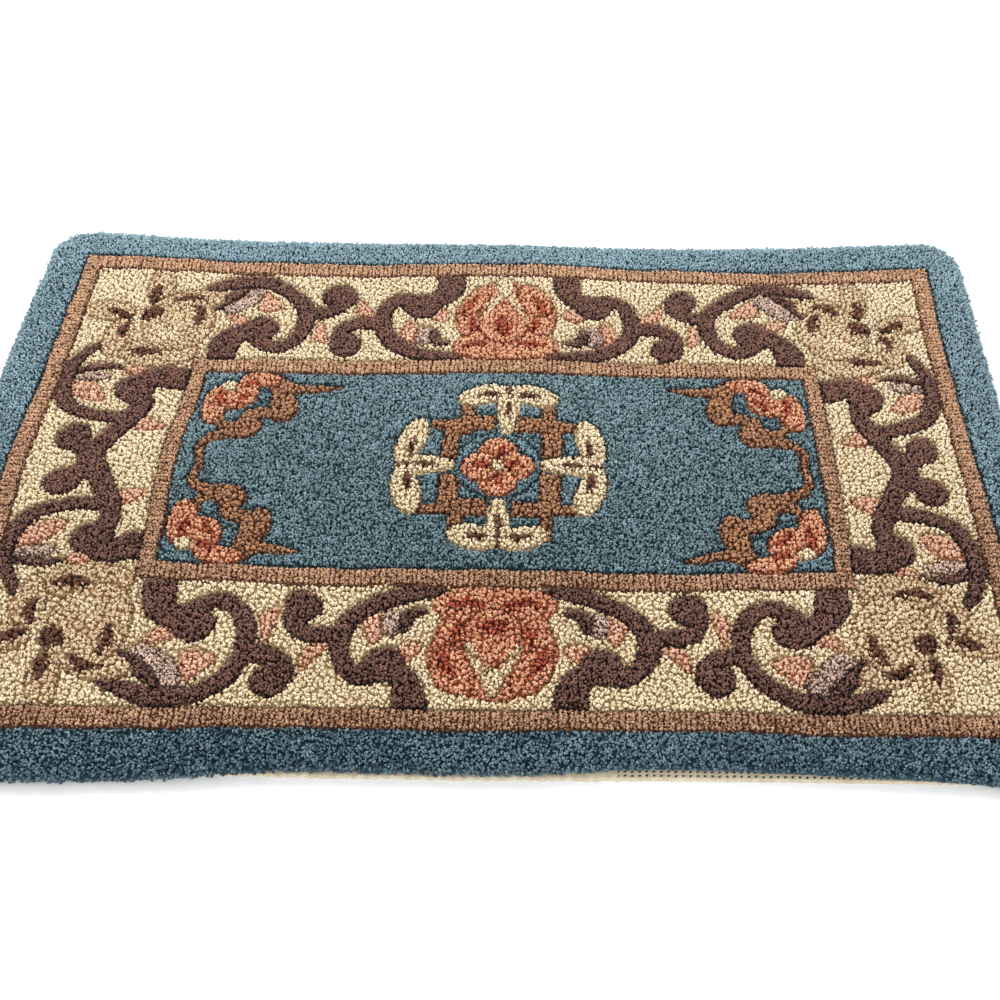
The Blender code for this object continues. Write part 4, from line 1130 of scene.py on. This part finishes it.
# The canvas: how far in front of the middle its hem lies at even distances from left to right,
# and then its threads, the turned hem's depth in rows of points and the holes along it
CANVAS_FRONT = (-290.0, -290.0, -290.5, -290.0, -287.5, -286.5, -286.0)
CANVAS_INSET = 6.0
CANVAS_THICKNESS = 2.6
THREAD_STEP = 0.9
CORNER_EASE = 30.0
HOLE_EVERY = 6
HOLE_ROWS = (4, 5, 8, 9)
HOLE_DEPTH = 1.6
HEM_DEPTH = 14
HEM_ROW_STEP = 0.8
ROWS_PAST_HEM = (16.0, 60.0)
HOLES_FROM = 95.0
HOLES_TO = 360.0
# The cotton's darker and lighter flecks, and the painted shadow in its holes
CANVAS_COLOURS = ((170, 152, 120), (240, 230, 206), (64, 44, 28))


def canvas_material():
    """Uneven cream cotton with a fine weave, with painted shadow in its holes."""
    material, tree, shader = new_material("canvas_cotton", Roughness=0.85)
    weave = texture(tree, "TexWave", Scale=180.0, Distortion=1.5)
    fleck = texture(tree, "TexNoise", Scale=240.0, Detail=4.0)
    dark_fleck, light, hole_shadow = ((*linear(screen), 1.0) for screen in CANVAS_COLOURS)
    mixed = add_node(tree, "MixRGB", Color1=dark_fleck, Color2=light)
    pitted = add_node(tree, "MixRGB", Color2=hole_shadow)
    bump = add_node(tree, "Bump", Distance=0.0004)
    wire(fleck, "Fac", mixed, "Fac")
    wire(weave, "Fac", bump, "Height")
    wire(attribute(tree, "shade"), "Fac", pitted, "Fac")
    wire(mixed, "Color", pitted, "Color1")
    wire(pitted, "Color", shader, "Base Color")
    wire(bump, "Normal", shader, "Normal")
    return material


def make_canvas():
    """The canvas backing: a closed sheet, with its threads and holes worked along the front hem."""
    half_x = HALF_LENGTH - CANVAS_INSET
    half_y = HALF_WIDTH - CANVAS_INSET
    radius = CORNER_RADIUS - CANVAS_INSET
    m = 2 * round(half_x / THREAD_STEP) + 1
    columns = np.linspace(-half_x, half_x, m)
    reach = side_reach(columns, half_x, half_y, radius)
    front = rug_plan(np.stack([columns, -reach], 1))
    back = rug_plan(np.stack([columns, reach], 1))
    canvas = along(CANVAS_FRONT, STATION_SPAN["front"], columns) + SHIFT[1]
    to_corner = HALF_LENGTH - 2 * CORNER_RADIUS - np.abs(columns)
    ease = np.clip(to_corner / CORNER_EASE, 0, 1)
    rough = 0.5 * np.sin(columns / 3.1 + 2.0 * np.sin(columns / 7.7)) + 0.4 * np.sin(columns / 1.3)
    canvas = canvas + np.where(columns < HOLES_FROM, rough, 0.3 * rough)
    eased = np.minimum(front[:, 1], canvas * ease + front[:, 1] * (1 - ease))
    front[:, 1] = np.where(to_corner > 0, eased, front[:, 1])
    steps = np.concatenate([np.arange(HEM_DEPTH) * HEM_ROW_STEP, ROWS_PAST_HEM])
    n = len(steps) + 1
    plan = np.zeros((m, n, 2))
    plan[:, :-1, 0] = front[:, :1]
    plan[:, :-1, 1] = front[:, 1:] + steps
    plan[:, -1] = back
    i = np.arange(m)[:, None]
    j = np.arange(n)[None, :]
    threads = 0.5 * np.abs(np.sin(math.pi * i / 2)) * (j < HEM_DEPTH) + 0.25 * (j % 2) * (j < HEM_DEPTH)
    edge = np.where(j == 0, 1.1, np.where(j == 1, 0.3, 0.0)) * np.ones((m, 1))
    edge = np.maximum(edge, np.where(j == n - 1, 1.1, 0.0))
    in_run = (columns > HOLES_FROM) & (columns < HOLES_TO)
    pit = 1.0 * (np.isin(i % HOLE_EVERY, (0, 1)) & in_run[:, None] & np.isin(j, HOLE_ROWS))
    top = CANVAS_THICKNESS - edge + 0.3 * threads - HOLE_DEPTH * pit
    bottom = np.where(edge > 1, 0.6, 0.0) * np.ones((m, n))
    points = np.vstack([
        np.column_stack([plan.reshape(-1, 2), top.ravel()]),
        np.column_stack([plan.reshape(-1, 2), bottom.ravel()]),
    ])
    quads, loop = grid_faces(m, n)
    quads = np.vstack([quads, quads[:, ::-1] + m * n, wall_faces(loop, loop + m * n)])
    made = mesh_object("canvas_backing", points, as_triangles(quads), canvas_material())
    # The holes' pits take the painted shadow
    set_shade(made, np.concatenate([pit.ravel(), np.zeros(m * n)]))
    plan_uv(made)
    return made


chance = np.random.default_rng(SEED)
mat = make_mat()
tufts = make_top_tufts(chance) + [make_rim_tufts(chance)]
canvas = make_canvas()
for piece in [mat, *tufts]:
    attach(piece, "root")
    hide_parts("pile")
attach(canvas, "root")
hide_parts("backing")

# Camera, worked out from the rug's straight bands and the frame's middle
CAMERA_LENS = 45.18
CAMERA_PITCH = 51.87
CAMERA_YAW = -1.02
CAMERA_ROLL = 0.18
CAMERA_PLACE = (15.7, -699.8, 843.8)
PILE_TOP_HEIGHT = 15.3
FLOOR_REACH = 6000.0


def make_camera():
    """The camera where the photo was taken from, rolled as it was held."""
    pitch, yaw, roll = (math.radians(v) for v in (CAMERA_PITCH, CAMERA_YAW, CAMERA_ROLL))
    look = Vector((math.sin(yaw) * math.cos(pitch), math.cos(yaw) * math.cos(pitch), -math.sin(pitch)))
    right = Vector((math.cos(yaw), -math.sin(yaw), 0.0))
    up = right.cross(look)
    right_rolled = math.cos(roll) * right + math.sin(roll) * up
    up_rolled = -math.sin(roll) * right + math.cos(roll) * up
    data = bpy.data.cameras.new("camera")
    data.sensor_width = 36.0
    data.lens = CAMERA_LENS
    data.clip_start = 0.01
    data.clip_end = 20.0
    camera = add_object("camera", data)
    turn = Matrix((right_rolled, up_rolled, -look)).transposed().to_4x4()
    place = (np.array(CAMERA_PLACE) + (SHIFT[0], SHIFT[1], PILE_TOP_HEIGHT)) * MM
    camera.matrix_world = Matrix.Translation(Vector(place)) @ turn
    bpy.context.scene.camera = camera


def make_floor():
    """A plain pale floor under the rug."""
    corners = FLOOR_REACH * np.array([(-1, -1, 0), (1, -1, 0), (1, 1, 0), (-1, 1, 0)])
    material, _, _ = new_material("pale_floor", Base_Color=(0.86, 0.86, 0.86, 1.0), Roughness=0.8)
    floor = mesh_object("floor", corners, np.array([[0, 1, 2, 3]]), material)


def area_light(name, place, aim, size, watts, colour):
    """A round, soft light at a place, turned towards its aim."""
    data = bpy.data.lights.new(name, "AREA")
    data.shape = "DISK"
    data.size = size
    data.energy = watts
    data.color = colour
    light = add_object(name, data)
    light.location = place
    light.rotation_mode = "QUATERNION"
    light.rotation_quaternion = (Vector(aim) - Vector(place)).to_track_quat("-Z", "Y")


def make_light():
    """Even light from all round, a key from the back left and a weak fill from the front right."""
    world = bpy.data.worlds.new("studio")
    bpy.context.scene.world = world
    world.use_nodes = True
    set_inputs(world.node_tree.nodes["Background"], {"Color": (1.0, 1.0, 1.0, 1.0), "Strength": 1.15})
    area_light("key", (-1.1, 1.5, 1.9), (0, 0, 0), 1.6, 66.0, (1.0, 0.99, 0.97))
    area_light("fill", (1.2, -1.6, 1.7), (0, 0, 0), 2.0, 16.0, (0.96, 0.98, 1.0))
    bpy.context.scene.view_settings.view_transform = "Standard"


make_floor()
make_camera()
make_light()
